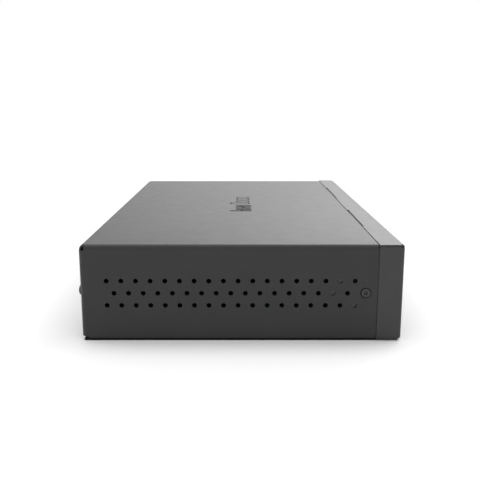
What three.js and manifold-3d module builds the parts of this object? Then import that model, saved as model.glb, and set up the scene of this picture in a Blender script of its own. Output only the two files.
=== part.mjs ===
import * as THREE from 'three';
import { mergeVertices } from 'three/addons/utils/BufferGeometryUtils.js';
import Module from 'manifold-3d';

// A desktop network switch in a folded sheet-steel case.
// Millimetres. +Z is up, the ports face -Y, and the origin is the centre of the
// case's footprint on the surface it stands on.

// ---------------------------------------------------------------- case
const width = 231;
const depth = 143;
const height = 44;
const sheet = 1.0; // cover and tray
const panelSheet = 0.8; // front panel
const panelDepth = 11.0; // front face to the seam
const panelProud = 0.3; // front panel over the cover, top and sides
const seamGap = 0.15;
const coverBend = 1.4; // inside radius of the cover's folds
const insideBend = 0.5; // inside radius of the other folds
const cornerRelief = 2.5; // open corner where the cover's rear folds meet
const panelRelief = 1.5; // the same on the front panel
const slit = 0.15; // gap between flanges that butt
const nestGap = 0.3; // cover outside the tray
const layerGap = 0.1; // one sheet lying on another
const panelLift = 0.3; // front panel above the desk
const trayLift = 0.15; // tray above the desk
const rimInset = 0.2; // tray's rim inside the cover's outer faces
const rearFlangeWidth = 11.5;
const rearFlangeLift = 1.9;
const rearLipHeight = 7;
const sideFlangeHeight = 12; // tray's side walls
const tabWidth = 46.5; // tongues of the front panel under the cover
const tabPitch = 95;
const tabReach = 6;
const notchWidth = 1.2;
const notchDepth = 2.2;
const tongueGap = 0.5; // end of the tray's tongue to the front panel
const floorLead = 0.3; // start of the tray's floor behind its joggle

// ---------------------------------------------------------------- vents
const ventPitch = 6.46;
const ventRadius = 1.07;
const ventCount = 18; // outer rows; the middle row has one fewer
const ventCentreY = 4.7;
const ventSides = 8;
const earTopMargin = 3; // tray ear above the top row of vents
const earSlotWidth = 3.4;
const earFrontGap = 1; // tray ear behind the cover's front edge
const earRearMargin = 0.4; // ear past the vents that it backs
const earSlotStep = 1; // vents between the slot's top and bottom
const earVents = 1.5; // vent pitches from the first vent to the last that the ear backs

// ---------------------------------------------------------------- fasteners and feet
const shankRadius = 1.45;
const threadGap = 0.05;
const sideScrewSetback = 5.4; // behind the seam
const sideScrewHeadRadius = 2.2;
const sideScrewHeadHeight = 0.7;
const headLand = 0.1; // straight edge of a flush head
const headSink = 0.1; // flush head below its face
const headRest = 0.02; // pan head off the sheet
const sideScrewLength = 5;
const countersinkGap = 0.4; // dark ring round a flush head
const rearScrewInset = 5.8; // from the cover's side
const panHeadRadius = 2.85;
const panHeadHeight = 2.0;
const rearScrewLength = 6;
const rearHeadRadius = 2.4; // the cover's rear screws
const rearHeadHeight = 1.5;
const boardScrewLength = 6;
const groundScrewLength = 7;
const panelScrewInset = 29.5; // from the case's side
const panelScrewLength = 4.5;
const screwSides = 12;
const holeSides = 16;
const footRadius = 6;
const footChamfer = 0.5;
const footSeat = 1.5; // depth of the pocket that a foot sits in
const footInsetX = 23.5;
const footInsetY = 21.5;
const pocketGap = 0.6;

// ---------------------------------------------------------------- boards
const boardThickness = 1.6;
const boardHeight = 6.35; // tray's underside to the boards' underside
const boardSideGap = 2.9;
const boardFrontGap = 2.2;
const mainBoardDepth = 62.5;
const boardsGap = 8;
const powerBoardWidth = 93;
const powerBoardRearGap = 3.4;
const bossInset = 5;
const bossFrontInset = 14.5; // front bosses, clear of the front panel's flange
const bossRadius = 3.6;
const bossFoot = 1.4; // how much wider a boss is at its foot
const insulatorThickness = 0.4;
const insulatorMargin = 1; // round the feet's pockets and the bosses
const boardHoleGap = 0.15;

// ---------------------------------------------------------------- front
const portPitch = 13.97;
const portColumns = 4; // in each of the two jack blocks
const jackDepth = 25;
const jackSideWall = 0.3;
const jackRowHeight = 13.3;
const plugWidth = 11.9;
const plugHeight = 6.9;
const plugDepth = 13.5;
const latchWidth = 6.4;
const latchHeight = 2.3;
const latchOverlap = 0.1;
const plugToMiddle = 1.6; // plastic between a plug and the block's middle
const shieldSheet = 0.4;
const jackGap = 3.5; // between the two blocks
const cutoutGap = 0.3;
const faceSetback = 0.2; // jacks, cages and light guides behind the front face
const cageWidth = 14.4;
const cageHeight = 9.6;
const cageLength = 45;
const cagePitch = 17;
const cageToJack = 10.5;
const cageSheet = 0.4;
const cageBootStart = 9; // opening under the connector, from the cage's rear
const cageBootEnd = 1;
const cageBootInset = 0.8;
const connectorWidth = 11;
const connectorHeight = 6;
const connectorFront = 8; // from the cage's rear
const connectorRear = 2;
const connectorSlotWidth = 9.2;
const connectorSlotDepth = 4;
const connectorSlotLow = 2.4; // above the board
const connectorSlotHeight = 1.4;
const guideThickness = 2.6;
const guideRise = 1.1; // over the jack shield
const guideSideInset = 1.2;
const guideLegGap = 1.5; // behind the jack shield
const guideRootGap = 0.7; // bar behind the front sheet
const tipOverlap = 1; // tip's root inside the bar
const tipRadius = 1.2;
const tipSides = 8;
const ledHeight = 1.2;
const ledMargin = 0.3; // each side of the guide's leg
const powerGuideHalf = 1.3;
const resetInset = 23.5; // its axis from the case's side
const resetRadius = 1.6;
const resetTravel = 0.5;
const resetHeight = 4.4; // its axis above the board
const resetSetback = 0.4; // button's end behind the front face
const resetChamfer = 0.3;
const resetStem = 3.6; // button behind the bar's line
const resetCollar = 1; // both its width and its thickness
const resetCollarSetback = 0.5;
const resetSwitchWidth = 6;
const resetSwitchDepth = 6;
const resetSwitchRise = 3; // over the button's axis
const modeInset = 37.5; // its slot's middle from the case's side
const modeTravel = 3;
const modeHeight = 3; // its axis above the board
const modeSetback = 3.4; // switch body behind the bar's line
const modeGroove = 0.9; // how far the knob reaches into the switch
const modeSwitchDepth = 4.5;
const modeSwitchMargin = 2.2;
const modeSwitchRise = 2.6;
const knobWidth = 2.6;
const knobHeight = 2.4;
const knobSetback = 0.1;
const knobCollar = 0.8; // its thickness
const knobCollarShare = 0.8; // its half height, as a share of the knob's height
const runningGap = 0.25;
const powerLightInset = 15.5; // from the case's side
const chipSize = 23;
const chipHeight = 1.8;
const sinkSize = 30;
const sinkHeight = 13;
const sinkFins = 9;
const sinkBase = 2.5;
const sinkRearGap = 2; // to the board's rear edge

// ---------------------------------------------------------------- rear
const inletInset = 45.5; // its middle from the case's side
const inletWidth = 27;
const inletHeight = 19.6;
const inletDepth = 20;
const inletRim = 2; // flange outside the rear wall
const inletRimWidth = 2.2;
const inletWall = 1.4;
const inletFloor = 2;
const pinPitch = 14;
const pinDrop = 2; // line and neutral pins below the inlet's middle
const pinOffset = 6; // earth pin above the line and neutral pins
const pinWidth = 2;
const pinHeight = 4;
const pinSetback = 5.5; // tips behind the rim's face
const pinTail = 3; // leg behind the inlet
const pinLeg = 2;
const groundInset = 31.5; // from the case's side
const lockInset = 15.5; // from the case's side
const lockWidth = 7;
const lockHeight = 3;
const rearLow = 14; // height of the ground screw and the lock slot
const keyholeInset = 45.5; // from the case's side
const keyholeRadius = 4;
const keyholeSlot = 2.1;
const keyholeReach = 9;

// ---------------------------------------------------------------- power supply
const coreWidth = 34;
const coreThickness = 14;
const coreHeight = 25;
const coreLeg = 10; // middle leg
const coreYoke = 5; // outer legs and yokes
const coreFromLeft = 31; // its middle from the power board's left edge
const coreFromFront = 26; // and from its front edge
const windingGap = 0.3;
const windingRadius = 3; // outer corners
const bulkRadius = 9;
const bulkHeight = 26;
const bulkFromRight = 16;
const bulkFromFront = 18;
const outputRadius = 4;
const outputHeight = 18;
const outputFromLeft = 7;
const outputFromFront = 24;
const canFoot = 0.5; // rounding of a capacitor's foot
const canShoulder = 0.6; // rounding of its top
const chokeRing = 7; // centre line of the winding
const chokeThick = 3;
const chokeFromRight = 14;
const chokeFromRear = 22;
const fuseRadius = 2.6;
const fuseLength = 20;
const fuseCap = 5.5;
const fuseGlassInset = 0.3;
const fuseLift = 0.2;
const fuseFromLeft = 25;
const fuseFromRear = 19;
const finsFromLeft = 51.5;
const finsFromFront = 22;
const finsLength = 26;
const finsReach = 10;
const finsWeb = 2;
const finThickness = 1.5;
const finPitch = 8;
const finLow = 6; // lowest fin above the board
const finCount = 3;
const headerWidth = 10;
const headerDepth = 6;
const headerHeight = 7;
const headerFromLeft = 17;
const cableArch = 9;
const cableThickness = 2.4;
const cableInset = 1; // narrower than the header, each side

// ---------------------------------------------------------------- derived places
const sideX = width / 2;
const frontY = -depth / 2;
const rearY = depth / 2;
const seamY = frontY + panelDepth;
const coverX = sideX - panelProud;
const coverTop = height - panelProud;
const coverFront = seamY + seamGap;
const coverCeiling = coverTop - sheet;
const trayX = coverX - sheet - nestGap;
const trayFloor = trayLift + sheet;
const coverLift = trayFloor + layerGap; // the cover's sides stand on the tray's rim
const rimX = coverX - rimInset;
const tongueZ = panelLift + panelSheet + layerGap;
const tongueFront = frontY + panelSheet + tongueGap;
const wallOuterY = rearY - sheet - layerGap;
const wallInnerY = wallOuterY - sheet;
const boardX = trayX - sheet - boardSideGap;
const boardZ = trayLift + boardHeight;
const deckZ = boardZ + boardThickness;
const boardFrontY = frontY + panelSheet + boardFrontGap;
const mainRearY = boardFrontY + mainBoardDepth;
const powerFrontY = mainRearY + boardsGap;
const powerRearY = wallInnerY - powerBoardRearGap;
const powerLeftX = boardX - powerBoardWidth;
const faceY = frontY + faceSetback;
const jackWidth = portColumns * portPitch + 2 * jackSideWall;
const jackTopZ = deckZ + 2 * jackRowHeight;
const jackMiddleZ = deckZ + jackRowHeight;
const jackX = jackWidth / 2 + jackGap / 2;
const cageX = jackX + jackWidth / 2 + cageToJack + cageWidth / 2;
const guideZ = jackTopZ + shieldSheet + guideRise;
const tipZ = guideZ + guideThickness / 2;
const tipRoot = frontY + panelSheet + guideRootGap;
const guideLegY = faceY + jackDepth + shieldSheet + guideLegGap;
const resetZ = deckZ + resetHeight;
const modeZ = deckZ + modeHeight;
const modeFront = tipRoot + modeSetback;
const panelScrewX = sideX - panelScrewInset;
const resetX = -sideX + resetInset;
const modeX = -sideX + modeInset;
const powerLightX = -sideX + powerLightInset;
const inletX = sideX - inletInset;
const groundX = -sideX + groundInset;
const lockX = -sideX + lockInset;
const keyholeX = sideX - keyholeInset;
const coreX = powerLeftX + coreFromLeft;
const coreY = powerFrontY + coreFromFront;
const headerX = powerLeftX + headerFromLeft;
const inletFace = wallOuterY + layerGap + inletRim;
const inletRear = inletFace - inletRim - inletDepth;
const holeRadius = shankRadius + threadGap;
const middleZ = height / 2;
const sideScrewY = seamY + sideScrewSetback;
const countersinkRadius = sideScrewHeadRadius + countersinkGap;
const rearScrewX = coverX - rearScrewInset;
const ventRise = ventPitch * Math.sin(Math.PI / 3);
const panelScrewY = (seamY + tongueFront) / 2;
const feet = [];
for (const [x, side] of [[-1, 'left'], [1, 'right']]) {
  for (const [y, end] of [[-1, 'front'], [1, 'rear']]) {
    feet.push({
      name: `foot_${end}_${side}`,
      x: x * (sideX - footInsetX),
      y: y * (depth / 2 - footInsetY),
    });
  }
}
const bossByCagesX = jackX + (jackWidth + cageToJack) / 2; // between the jacks and the cages
const mainBosses = [
  ['front_left', -boardX + bossInset, boardFrontY + bossFrontInset],
  ['front_right', bossByCagesX, boardFrontY + bossFrontInset],
  ['rear_left', -boardX + bossInset, mainRearY - bossInset],
  ['rear_right', boardX - bossInset, mainRearY - bossInset],
];
const powerBosses = [
  ['front_left', powerLeftX + bossInset, powerFrontY + bossInset],
  ['front_right', boardX - bossInset, powerFrontY + bossInset],
  ['rear_left', powerLeftX + bossInset, powerRearY - bossInset],
  ['rear_right', boardX - bossInset, powerRearY - bossInset],
];

// ---------------------------------------------------------------- materials
function finish(color, roughness, metalness, extra = {}) {
  return new THREE.MeshStandardMaterial({ color, roughness, metalness, flatShading: true, ...extra });
}

const coverPaint = finish(0x4a4a4b, 0.55, 0.2);
const trayPaint = finish(0x1b1b1c, 0.6, 0.2);
const panelPaint = finish(0x4e4e4f, 0.5, 0.2);
const blackSteel = finish(0x1d1d1f, 0.4, 0.8);
const zincSteel = finish(0xb9bcbe, 0.35, 1);
const tinnedSteel = finish(0xc6c9cb, 0.3, 1);
const goldPlate = finish(0xd4a94a, 0.3, 1);
const aluminium = finish(0xbfc3c6, 0.4, 1);
const rubber = finish(0x161616, 0.9, 0);
const blackPlastic = finish(0x17181a, 0.5, 0);
const greyPlastic = finish(0x55585c, 0.5, 0);
const clearPlastic = finish(0xe8efe9, 0.15, 0, { transparent: true, opacity: 0.6 });
const boardGreen = finish(0x14502c, 0.45, 0);
const boardTan = finish(0xa98a4c, 0.6, 0);
const ferrite = finish(0x2b2b2d, 0.7, 0.1);
const tape = finish(0xd9b23a, 0.5, 0);
const copper = finish(0xb87333, 0.4, 0.9);
const sleeve = finish(0x1f2f5c, 0.4, 0);
const redWire = finish(0x9b1c1c, 0.5, 0);
const film = finish(0xdedccf, 0.6, 0);

// ---------------------------------------------------------------- shape helpers
const wasm = await Module();
wasm.setup();

// A closed three.js geometry as a manifold solid.
function solid(geometry) {
  geometry.deleteAttribute('normal');
  geometry.deleteAttribute('uv');
  const merged = mergeVertices(geometry);
  const corners = merged.index.array;
  const triangles = [];
  for (let i = 0; i < corners.length; i += 3) {
    const [a, b, c] = [corners[i], corners[i + 1], corners[i + 2]];
    if (a !== b && b !== c && c !== a) triangles.push(a, b, c);
  }
  return new wasm.Manifold(new wasm.Mesh({
    numProp: 3,
    vertProperties: new Float32Array(merged.attributes.position.array),
    triVerts: new Uint32Array(triangles),
  }));
}

function block([x0, x1], [y0, y1], [z0, z1]) {
  const geometry = new THREE.BoxGeometry(x1 - x0, y1 - y0, z1 - z0);
  geometry.translate((x0 + x1) / 2, (y0 + y1) / 2, (z0 + z1) / 2);
  return solid(geometry);
}

const alongX = new THREE.Vector3(1, 0, 0);
const alongY = new THREE.Vector3(0, 1, 0);
const alongZ = new THREE.Vector3(0, 0, 1);
const extrudeFrame = {
  x: new THREE.Matrix4().makeBasis(alongY, alongZ, alongX),
  y: new THREE.Matrix4().makeBasis(alongZ, alongX, alongY),
  z: new THREE.Matrix4(),
};
const latheFrame = {
  x: new THREE.Matrix4().makeBasis(alongZ, alongX, alongY),
  y: new THREE.Matrix4(),
  z: new THREE.Matrix4().makeBasis(alongX, alongZ, alongY.clone().negate()),
};

// An outline pushed along an axis. Its points are (y, z) for x, (x, z) for y and (x, y) for z.
function prism(axis, outline, from, to) {
  const points = outline.map(([a, b]) => (axis === 'y' ? new THREE.Vector2(b, a) : new THREE.Vector2(a, b)));
  const options = { depth: to - from, bevelEnabled: false };
  const geometry = new THREE.ExtrudeGeometry(new THREE.Shape(points), options);
  geometry.translate(0, 0, from);
  geometry.applyMatrix4(extrudeFrame[axis]);
  return solid(geometry);
}

// A profile of [radius, distance along the axis] points turned about the axis through a centre.
function turned(axis, profile, [x, y, z], sides = screwSides) {
  const points = profile.map(([radius, along]) => new THREE.Vector2(radius, along));
  const geometry = new THREE.LatheGeometry(points, sides);
  geometry.applyMatrix4(latheFrame[axis]);
  geometry.translate(x, y, z);
  return solid(geometry);
}

function rod(axis, radius, from, to, centre, sides = screwSides) {
  return turned(axis, [[0, from], [radius, from], [radius, to], [0, to]], centre, sides);
}

function union(pieces) {
  return pieces.reduce((whole, piece) => whole.add(piece));
}

function cut(body, tools) {
  return body.subtract(union(tools));
}

// The outline of folded sheet. The path runs along one face with the sheet on its left,
// and every corner of it is a rounded fold.
function foldedSheet(path, thickness, inside = insideBend) {
  const near = [];
  const far = [];
  const points = path.map(([a, b]) => new THREE.Vector2(a, b));
  const left = (direction) => new THREE.Vector2(-direction.y, direction.x);
  points.forEach((point, i) => {
    const before = i > 0 ? point.clone().sub(points[i - 1]).normalize() : null;
    const after = i < points.length - 1 ? points[i + 1].clone().sub(point).normalize() : null;
    if (!before || !after) {
      near.push(point);
      far.push(point.clone().addScaledVector(left(before ?? after), thickness));
      return;
    }
    const turn = Math.atan2(before.cross(after), before.dot(after));
    const side = Math.sign(turn);
    const nearRadius = side > 0 ? inside + thickness : inside;
    const farRadius = side > 0 ? inside : inside + thickness;
    const centre = point.clone().addScaledVector(before, -nearRadius * Math.tan(Math.abs(turn) / 2));
    centre.addScaledVector(left(before), side * nearRadius);
    const steps = Math.max(1, Math.round(Math.abs(turn) / (Math.PI / 8)));
    for (let step = 0; step <= steps; step += 1) {
      const angle = (turn * step) / steps;
      const spoke = left(before).multiplyScalar(-side).rotateAround(new THREE.Vector2(), angle);
      near.push(centre.clone().addScaledVector(spoke, nearRadius));
      far.push(centre.clone().addScaledVector(spoke, farRadius));
    }
  });
  return [...near, ...far.reverse()].map((point) => [point.x, point.y]);
}

const mirrored = (outline) => outline.map(([x, other]) => [-x, other]);
const bothSides = [-1, 1];

// ---------------------------------------------------------------- assembly
const networkSwitch = new THREE.Group();

function addMesh(name, shape, material, group = networkSwitch) {
  const { vertProperties, triVerts } = shape.getMesh();
  const geometry = new THREE.BufferGeometry();
  geometry.setAttribute('position', new THREE.BufferAttribute(vertProperties, 3));
  geometry.setIndex(new THREE.BufferAttribute(triVerts, 1));
  const mesh = new THREE.Mesh(geometry, material);
  mesh.name = name;
  group.add(mesh);
  return mesh;
}

// ---------------------------------------------------------------- case pieces
function ventCentres() {
  const centres = [];
  for (const row of [-1, 0, 1]) {
    const count = row === 0 ? ventCount - 1 : ventCount;
    for (let i = 0; i < count; i += 1) {
      centres.push([ventCentreY - (i - (count - 1) / 2) * ventPitch, middleZ + row * ventRise]);
    }
  }
  return centres;
}

// The cutter's profile for a countersunk hole through a sheet whose face is at a coordinate
// along the axis, facing up (1) or down (-1) it.
function countersink(face, facing, thickness) {
  const profile = [
    [0, face - facing * (thickness + layerGap)],
    [holeRadius, face - facing * (thickness + layerGap)],
    [holeRadius, face - facing * thickness],
    [countersinkRadius, face],
    [countersinkRadius, face + facing * layerGap],
    [0, face + facing * layerGap],
  ];
  return facing > 0 ? profile : profile.reverse();
}

// The cover's rear lip meets each side flange on a mitre. These are the zones that the mitre
// takes off the right end of the lip and off the right flange.
function besideLip() {
  const reach = 2 * rearLipHeight;
  return [
    [coverX, coverTop + slit / 2], [coverX - reach, coverTop - reach + slit / 2], [coverX, coverTop - reach],
  ];
}

function overLip() {
  const foot = rearLipHeight + slit;
  const inner = coverX - 2 * rearFlangeWidth;
  return [
    [coverX + sheet, coverTop + sheet - slit / 2], [inner, coverTop + sheet - slit / 2],
    [inner, coverTop - foot], [coverX - foot + slit / 2, coverTop - foot],
  ];
}

function topCover() {
  const foldRadius = sheet + coverBend;
  const body = prism('y', foldedSheet([
    [coverX, coverLift], [coverX, coverTop], [-coverX, coverTop], [-coverX, coverLift],
  ], sheet, coverBend), coverFront, rearY - foldRadius);
  const rearSpan = [rearY - foldRadius, rearY + sheet];
  const lip = prism('x', foldedSheet([
    [rearY, coverTop - rearLipHeight], [rearY, coverTop], [rearY - foldRadius, coverTop],
  ], sheet, coverBend), cornerRelief - coverX, coverX - cornerRelief);
  const lipEnds = [besideLip(), mirrored(besideLip())].map((outline) => prism('y', outline, ...rearSpan));
  const flange = foldedSheet([
    [coverX, rearY - foldRadius], [coverX, rearY], [coverX - rearFlangeWidth, rearY],
  ], sheet, coverBend);
  const flanges = [[flange, overLip()], [mirrored(flange), mirrored(overLip())]].map(([outline, over]) => (
    cut(prism('z', outline, rearFlangeLift, coverTop - cornerRelief), [prism('y', over, ...rearSpan)])
  ));
  const pieces = [body, cut(lip, lipEnds), ...flanges];
  const cutters = [];
  for (const side of bothSides) {
    for (const [y, z] of ventCentres()) {
      const span = [side * coverX - sheet * 2, side * coverX + sheet * 2];
      cutters.push(rod('x', ventRadius, ...span, [0, y, z], ventSides));
    }
    cutters.push(rod('y', holeRadius, rearY - 2 * sheet, rearY + sheet, [side * rearScrewX, 0, middleZ]));
    cutters.push(turned('x', countersink(side * coverX, side, sheet), [0, sideScrewY, middleZ], holeSides));
  }
  return cut(union(pieces), cutters);
}

function trayEar(side) {
  const vents = ventCentres();
  const ys = vents.map(([y]) => y).sort((a, b) => a - b);
  const earRear = ys[0] + earVents * ventPitch + ventRadius + earRearMargin;
  const earTop = middleZ + ventRise + ventRadius + earTopMargin;
  const inner = side * (trayX - sheet);
  const outer = side * trayX;
  const xs = [Math.min(inner, outer), Math.max(inner, outer)];
  const plate = block(xs, [coverFront + earFrontGap, earRear], [trayFloor + insideBend, earTop]);
  const slotTop = [ys[0], middleZ + ventRise];
  const slotBottom = [ys[0] + earSlotStep * ventPitch, middleZ - ventRise];
  const run = new THREE.Vector2(slotTop[0] - slotBottom[0], slotTop[1] - slotBottom[1]).normalize();
  const across = new THREE.Vector2(-run.y, run.x).multiplyScalar(earSlotWidth / 2);
  const ends = run.clone().multiplyScalar(earSlotWidth / 2);
  const corner = (point, end, way) => [
    point[0] + end * ends.x + way * across.x,
    point[1] + end * ends.y + way * across.y,
  ];
  const slot = [
    corner(slotBottom, -0.5, -1), corner(slotBottom, -1, 0), corner(slotBottom, -0.5, 1),
    corner(slotTop, 0.5, 1), corner(slotTop, 1, 0), corner(slotTop, 0.5, -1),
  ];
  return { plate, slot: prism('x', slot, xs[0] - sheet, xs[1] + sheet) };
}

function bossShape([, x, y]) {
  const foot = bossRadius + bossFoot;
  const outer = turned('z', [[0, trayLift], [foot, trayLift], [bossRadius, boardZ], [0, boardZ]], [x, y, 0]);
  const hollow = turned('z', [
    [0, trayLift - sheet], [foot - sheet, trayLift - sheet], [foot - sheet, trayLift],
    [bossRadius - sheet, boardZ - sheet], [0, boardZ - sheet],
  ], [x, y, 0]);
  const hole = rod('z', holeRadius, trayLift, boardZ + sheet, [x, y, 0]);
  return { outer, hollow, hole };
}

function baseTray() {
  const joggle = tongueZ - trayLift;
  const floorFront = coverFront + joggle + floorLead;
  const edge = trayX - sheet - insideBend;
  const wallTop = coverCeiling - coverBend;
  const wallX = coverX - sheet - coverBend;
  const section = foldedSheet([
    [tongueFront, tongueZ], [coverFront, tongueZ], [coverFront + joggle, trayLift],
    [wallOuterY, trayLift], [wallOuterY, wallTop],
  ], sheet);
  const channel = foldedSheet([
    [-trayX, sideFlangeHeight], [-trayX, trayLift], [trayX, trayLift], [trayX, sideFlangeHeight],
  ], sheet);
  const flangeRear = wallInnerY - insideBend - slit;
  const pieces = [
    prism('x', section, -edge, edge),
    prism('y', channel, floorFront, flangeRear),
    block([-wallX, wallX], [wallInnerY, wallOuterY], [cornerRelief, wallTop]),
    block([-rimX, -edge], [coverFront, wallOuterY], [trayLift, trayFloor]),
    block([edge, rimX], [coverFront, wallOuterY], [trayLift, trayFloor]),
  ];
  const keyholeY = (mainRearY + powerFrontY) / 2;
  const wallSpan = [wallInnerY - sheet, wallOuterY + sheet];
  const tongueSpan = [tongueZ - sheet, tongueZ + 2 * sheet];
  const floorSpan = [trayLift - sheet, trayFloor + sheet];
  const cutters = [];
  for (const side of bothSides) {
    const ear = trayEar(side);
    const earSpan = [side * trayX - 2 * sheet, side * trayX + 2 * sheet];
    const slotSpan = [side * keyholeX - keyholeSlot, side * keyholeX + keyholeSlot];
    pieces.push(ear.plate);
    cutters.push(ear.slot);
    cutters.push(rod('x', holeRadius, ...earSpan, [0, sideScrewY, middleZ]));
    cutters.push(rod('y', holeRadius, ...wallSpan, [side * rearScrewX, 0, middleZ]));
    cutters.push(rod('z', holeRadius, ...tongueSpan, [side * panelScrewX, panelScrewY, 0]));
    cutters.push(rod('z', keyholeRadius, ...floorSpan, [side * keyholeX, keyholeY, 0], holeSides));
    cutters.push(block(slotSpan, [keyholeY - keyholeReach, keyholeY], floorSpan));
  }
  for (const foot of feet) {
    const seatTop = trayLift + footSeat;
    const outer = footRadius + pocketGap + sheet;
    pieces.push(rod('z', outer, trayLift, seatTop + sheet, [foot.x, foot.y, 0], holeSides));
    cutters.push(rod('z', footRadius + pocketGap, 0, seatTop, [foot.x, foot.y, 0], holeSides));
  }
  for (const boss of [...mainBosses, ...powerBosses].map(bossShape)) {
    pieces.push(boss.outer);
    cutters.push(boss.hollow, boss.hole);
  }
  const inletZ = [middleZ - inletHeight / 2 - cutoutGap, middleZ + inletHeight / 2 + cutoutGap];
  const inletSpan = [inletX - inletWidth / 2 - cutoutGap, inletX + inletWidth / 2 + cutoutGap];
  const lockSpan = [lockX - lockWidth / 2, lockX + lockWidth / 2];
  cutters.push(block(inletSpan, wallSpan, inletZ));
  cutters.push(block(lockSpan, wallSpan, [rearLow - lockHeight / 2, rearLow + lockHeight / 2]));
  cutters.push(rod('y', holeRadius, ...wallSpan, [groundX, 0, rearLow]));
  return cut(union(pieces), cutters);
}

function frontPanel() {
  const bottomTop = panelLift + panelSheet;
  const section = foldedSheet([
    [seamY, height], [frontY, height], [frontY, panelLift], [seamY, panelLift],
  ], panelSheet);
  const wrap = foldedSheet([
    [-sideX, seamY], [-sideX, frontY], [sideX, frontY], [sideX, seamY],
  ], panelSheet);
  const inset = sideX - panelRelief;
  const reliefY = frontY + panelRelief;
  const tabDrop = height - (coverCeiling - layerGap);
  const tab = foldedSheet([
    [seamY + tabReach, coverCeiling - layerGap], [seamY, coverCeiling - layerGap],
    [seamY - tabDrop, height], [seamY - 2 * tabDrop - 1, height],
  ], panelSheet);
  const pieces = [
    prism('x', section, -inset, inset),
    prism('z', wrap, bottomTop + slit, height - panelSheet - slit),
    block([-sideX, sideX], [reliefY, seamY], [height - panelSheet, height]),
    block([-sideX, sideX], [reliefY, seamY], [panelLift, bottomTop]),
  ];
  const cutters = [];
  for (const side of bothSides) {
    const tabX = (side * tabPitch) / 2;
    const tabSpan = [tabX - tabWidth / 2, tabX + tabWidth / 2];
    cutters.push(block(tabSpan, [seamY - tabDrop, seamY], [height - panelSheet, height]));
    for (const end of tabSpan) {
      const notchSpan = [end - notchWidth / 2, end + notchWidth / 2];
      cutters.push(block(notchSpan, [seamY - notchDepth, seamY], [height - panelSheet, height]));
    }
    const screwPlace = [side * panelScrewX, panelScrewY, 0];
    cutters.push(turned('z', countersink(panelLift, -1, panelSheet), screwPlace, holeSides));
    const blockX = side * jackX;
    const gap = shieldSheet + cutoutGap;
    cutters.push(block(
      [blockX - jackWidth / 2 - gap, blockX + jackWidth / 2 + gap],
      [frontY - sheet, frontY + 2 * sheet],
      [deckZ - cutoutGap, jackTopZ + gap],
    ));
  }
  const through = [frontY - sheet, frontY + 2 * sheet];
  for (const cage of [0, 1]) {
    const x = cageX + cage * cagePitch;
    const reach = cageWidth / 2 + cutoutGap;
    cutters.push(block([x - reach, x + reach], through, [deckZ - cutoutGap, deckZ + cageHeight + cutoutGap]));
  }
  for (const x of [...tipPlaces(-1), ...tipPlaces(1), powerLightX]) {
    cutters.push(rod('y', tipRadius + cutoutGap, ...through, [x, 0, tipZ], tipSides));
  }
  cutters.push(rod('y', resetRadius + runningGap, ...through, [resetX, 0, resetZ]));
  const slotReach = knobWidth / 2 + modeTravel / 2 + runningGap;
  const slotHalf = knobHeight / 2 + runningGap;
  cutters.push(block([modeX - slotReach, modeX + slotReach], through, [modeZ - slotHalf, modeZ + slotHalf]));
  const tabs = bothSides.map((side) => {
    const tabX = (side * tabPitch) / 2;
    const reach = tabWidth / 2 - notchWidth / 2;
    return prism('x', tab, tabX - reach, tabX + reach);
  });
  return union([cut(union(pieces), cutters), ...tabs]);
}

// ---------------------------------------------------------------- fasteners and feet
function panScrew(length, radius = panHeadRadius, tall = panHeadHeight) {
  return turned('z', [
    [0, -length], [shankRadius, -length], [shankRadius, 0], [radius, 0],
    [radius, tall * 0.4], [radius * 0.72, tall * 0.85], [0, tall],
  ], [0, 0, 0]);
}

function flatScrew(length) {
  return turned('z', [
    [0, -length], [shankRadius, -length], [shankRadius, -sideScrewHeadHeight],
    [sideScrewHeadRadius, -headLand], [sideScrewHeadRadius, 0], [0, 0],
  ], [0, 0, 0]);
}

// Screws are made pointing up out of the surface and turned to the way they face.
function addScrew(name, shape, material, place, facing) {
  const mesh = addMesh(name, shape, material);
  mesh.position.set(...place);
  mesh.quaternion.setFromUnitVectors(alongZ, new THREE.Vector3(...facing));
}

function addFasteners() {
  for (const [side, end] of [[-1, 'left'], [1, 'right']]) {
    const besideHead = [side * (coverX - headSink), sideScrewY, middleZ];
    const rearHead = [side * rearScrewX, rearY + headRest, middleZ];
    const underHead = [side * panelScrewX, panelScrewY, panelLift + headSink];
    addScrew(`side_screw_${end}`, flatScrew(sideScrewLength), blackSteel, besideHead, [side, 0, 0]);
    const rearScrew = panScrew(rearScrewLength, rearHeadRadius, rearHeadHeight);
    addScrew(`rear_screw_${end}`, rearScrew, blackSteel, rearHead, [0, 1, 0]);
    addScrew(`panel_screw_${end}`, flatScrew(panelScrewLength), blackSteel, underHead, [0, 0, -1]);
  }
  const groundHead = [groundX, wallOuterY + headRest, rearLow];
  addScrew('ground_screw', panScrew(groundScrewLength), zincSteel, groundHead, [0, 1, 0]);
  const boardScrews = [['board', mainBosses], ['power', powerBosses]];
  for (const [board, bosses] of boardScrews) {
    for (const [name, x, y] of bosses) {
      const head = [x, y, deckZ + headRest];
      addScrew(`${board}_screw_${name}`, panScrew(boardScrewLength), zincSteel, head, [0, 0, 1]);
    }
  }
}

function addFeet() {
  const top = trayLift + footSeat;
  const shape = turned('z', [
    [0, 0], [footRadius - footChamfer, 0], [footRadius, footChamfer], [footRadius, top], [0, top],
  ], [0, 0, 0], holeSides);
  for (const foot of feet) {
    addMesh(foot.name, shape, rubber).position.set(foot.x, foot.y, 0);
  }
}

// ---------------------------------------------------------------- boards
function boardPlate(xs, ys, bosses) {
  const reach = [boardZ - sheet, deckZ + sheet];
  const holes = bosses.map(([, x, y]) => rod('z', shankRadius + boardHoleGap, ...reach, [x, y, 0]));
  return cut(block(xs, ys, [boardZ, deckZ]), holes);
}

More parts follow.
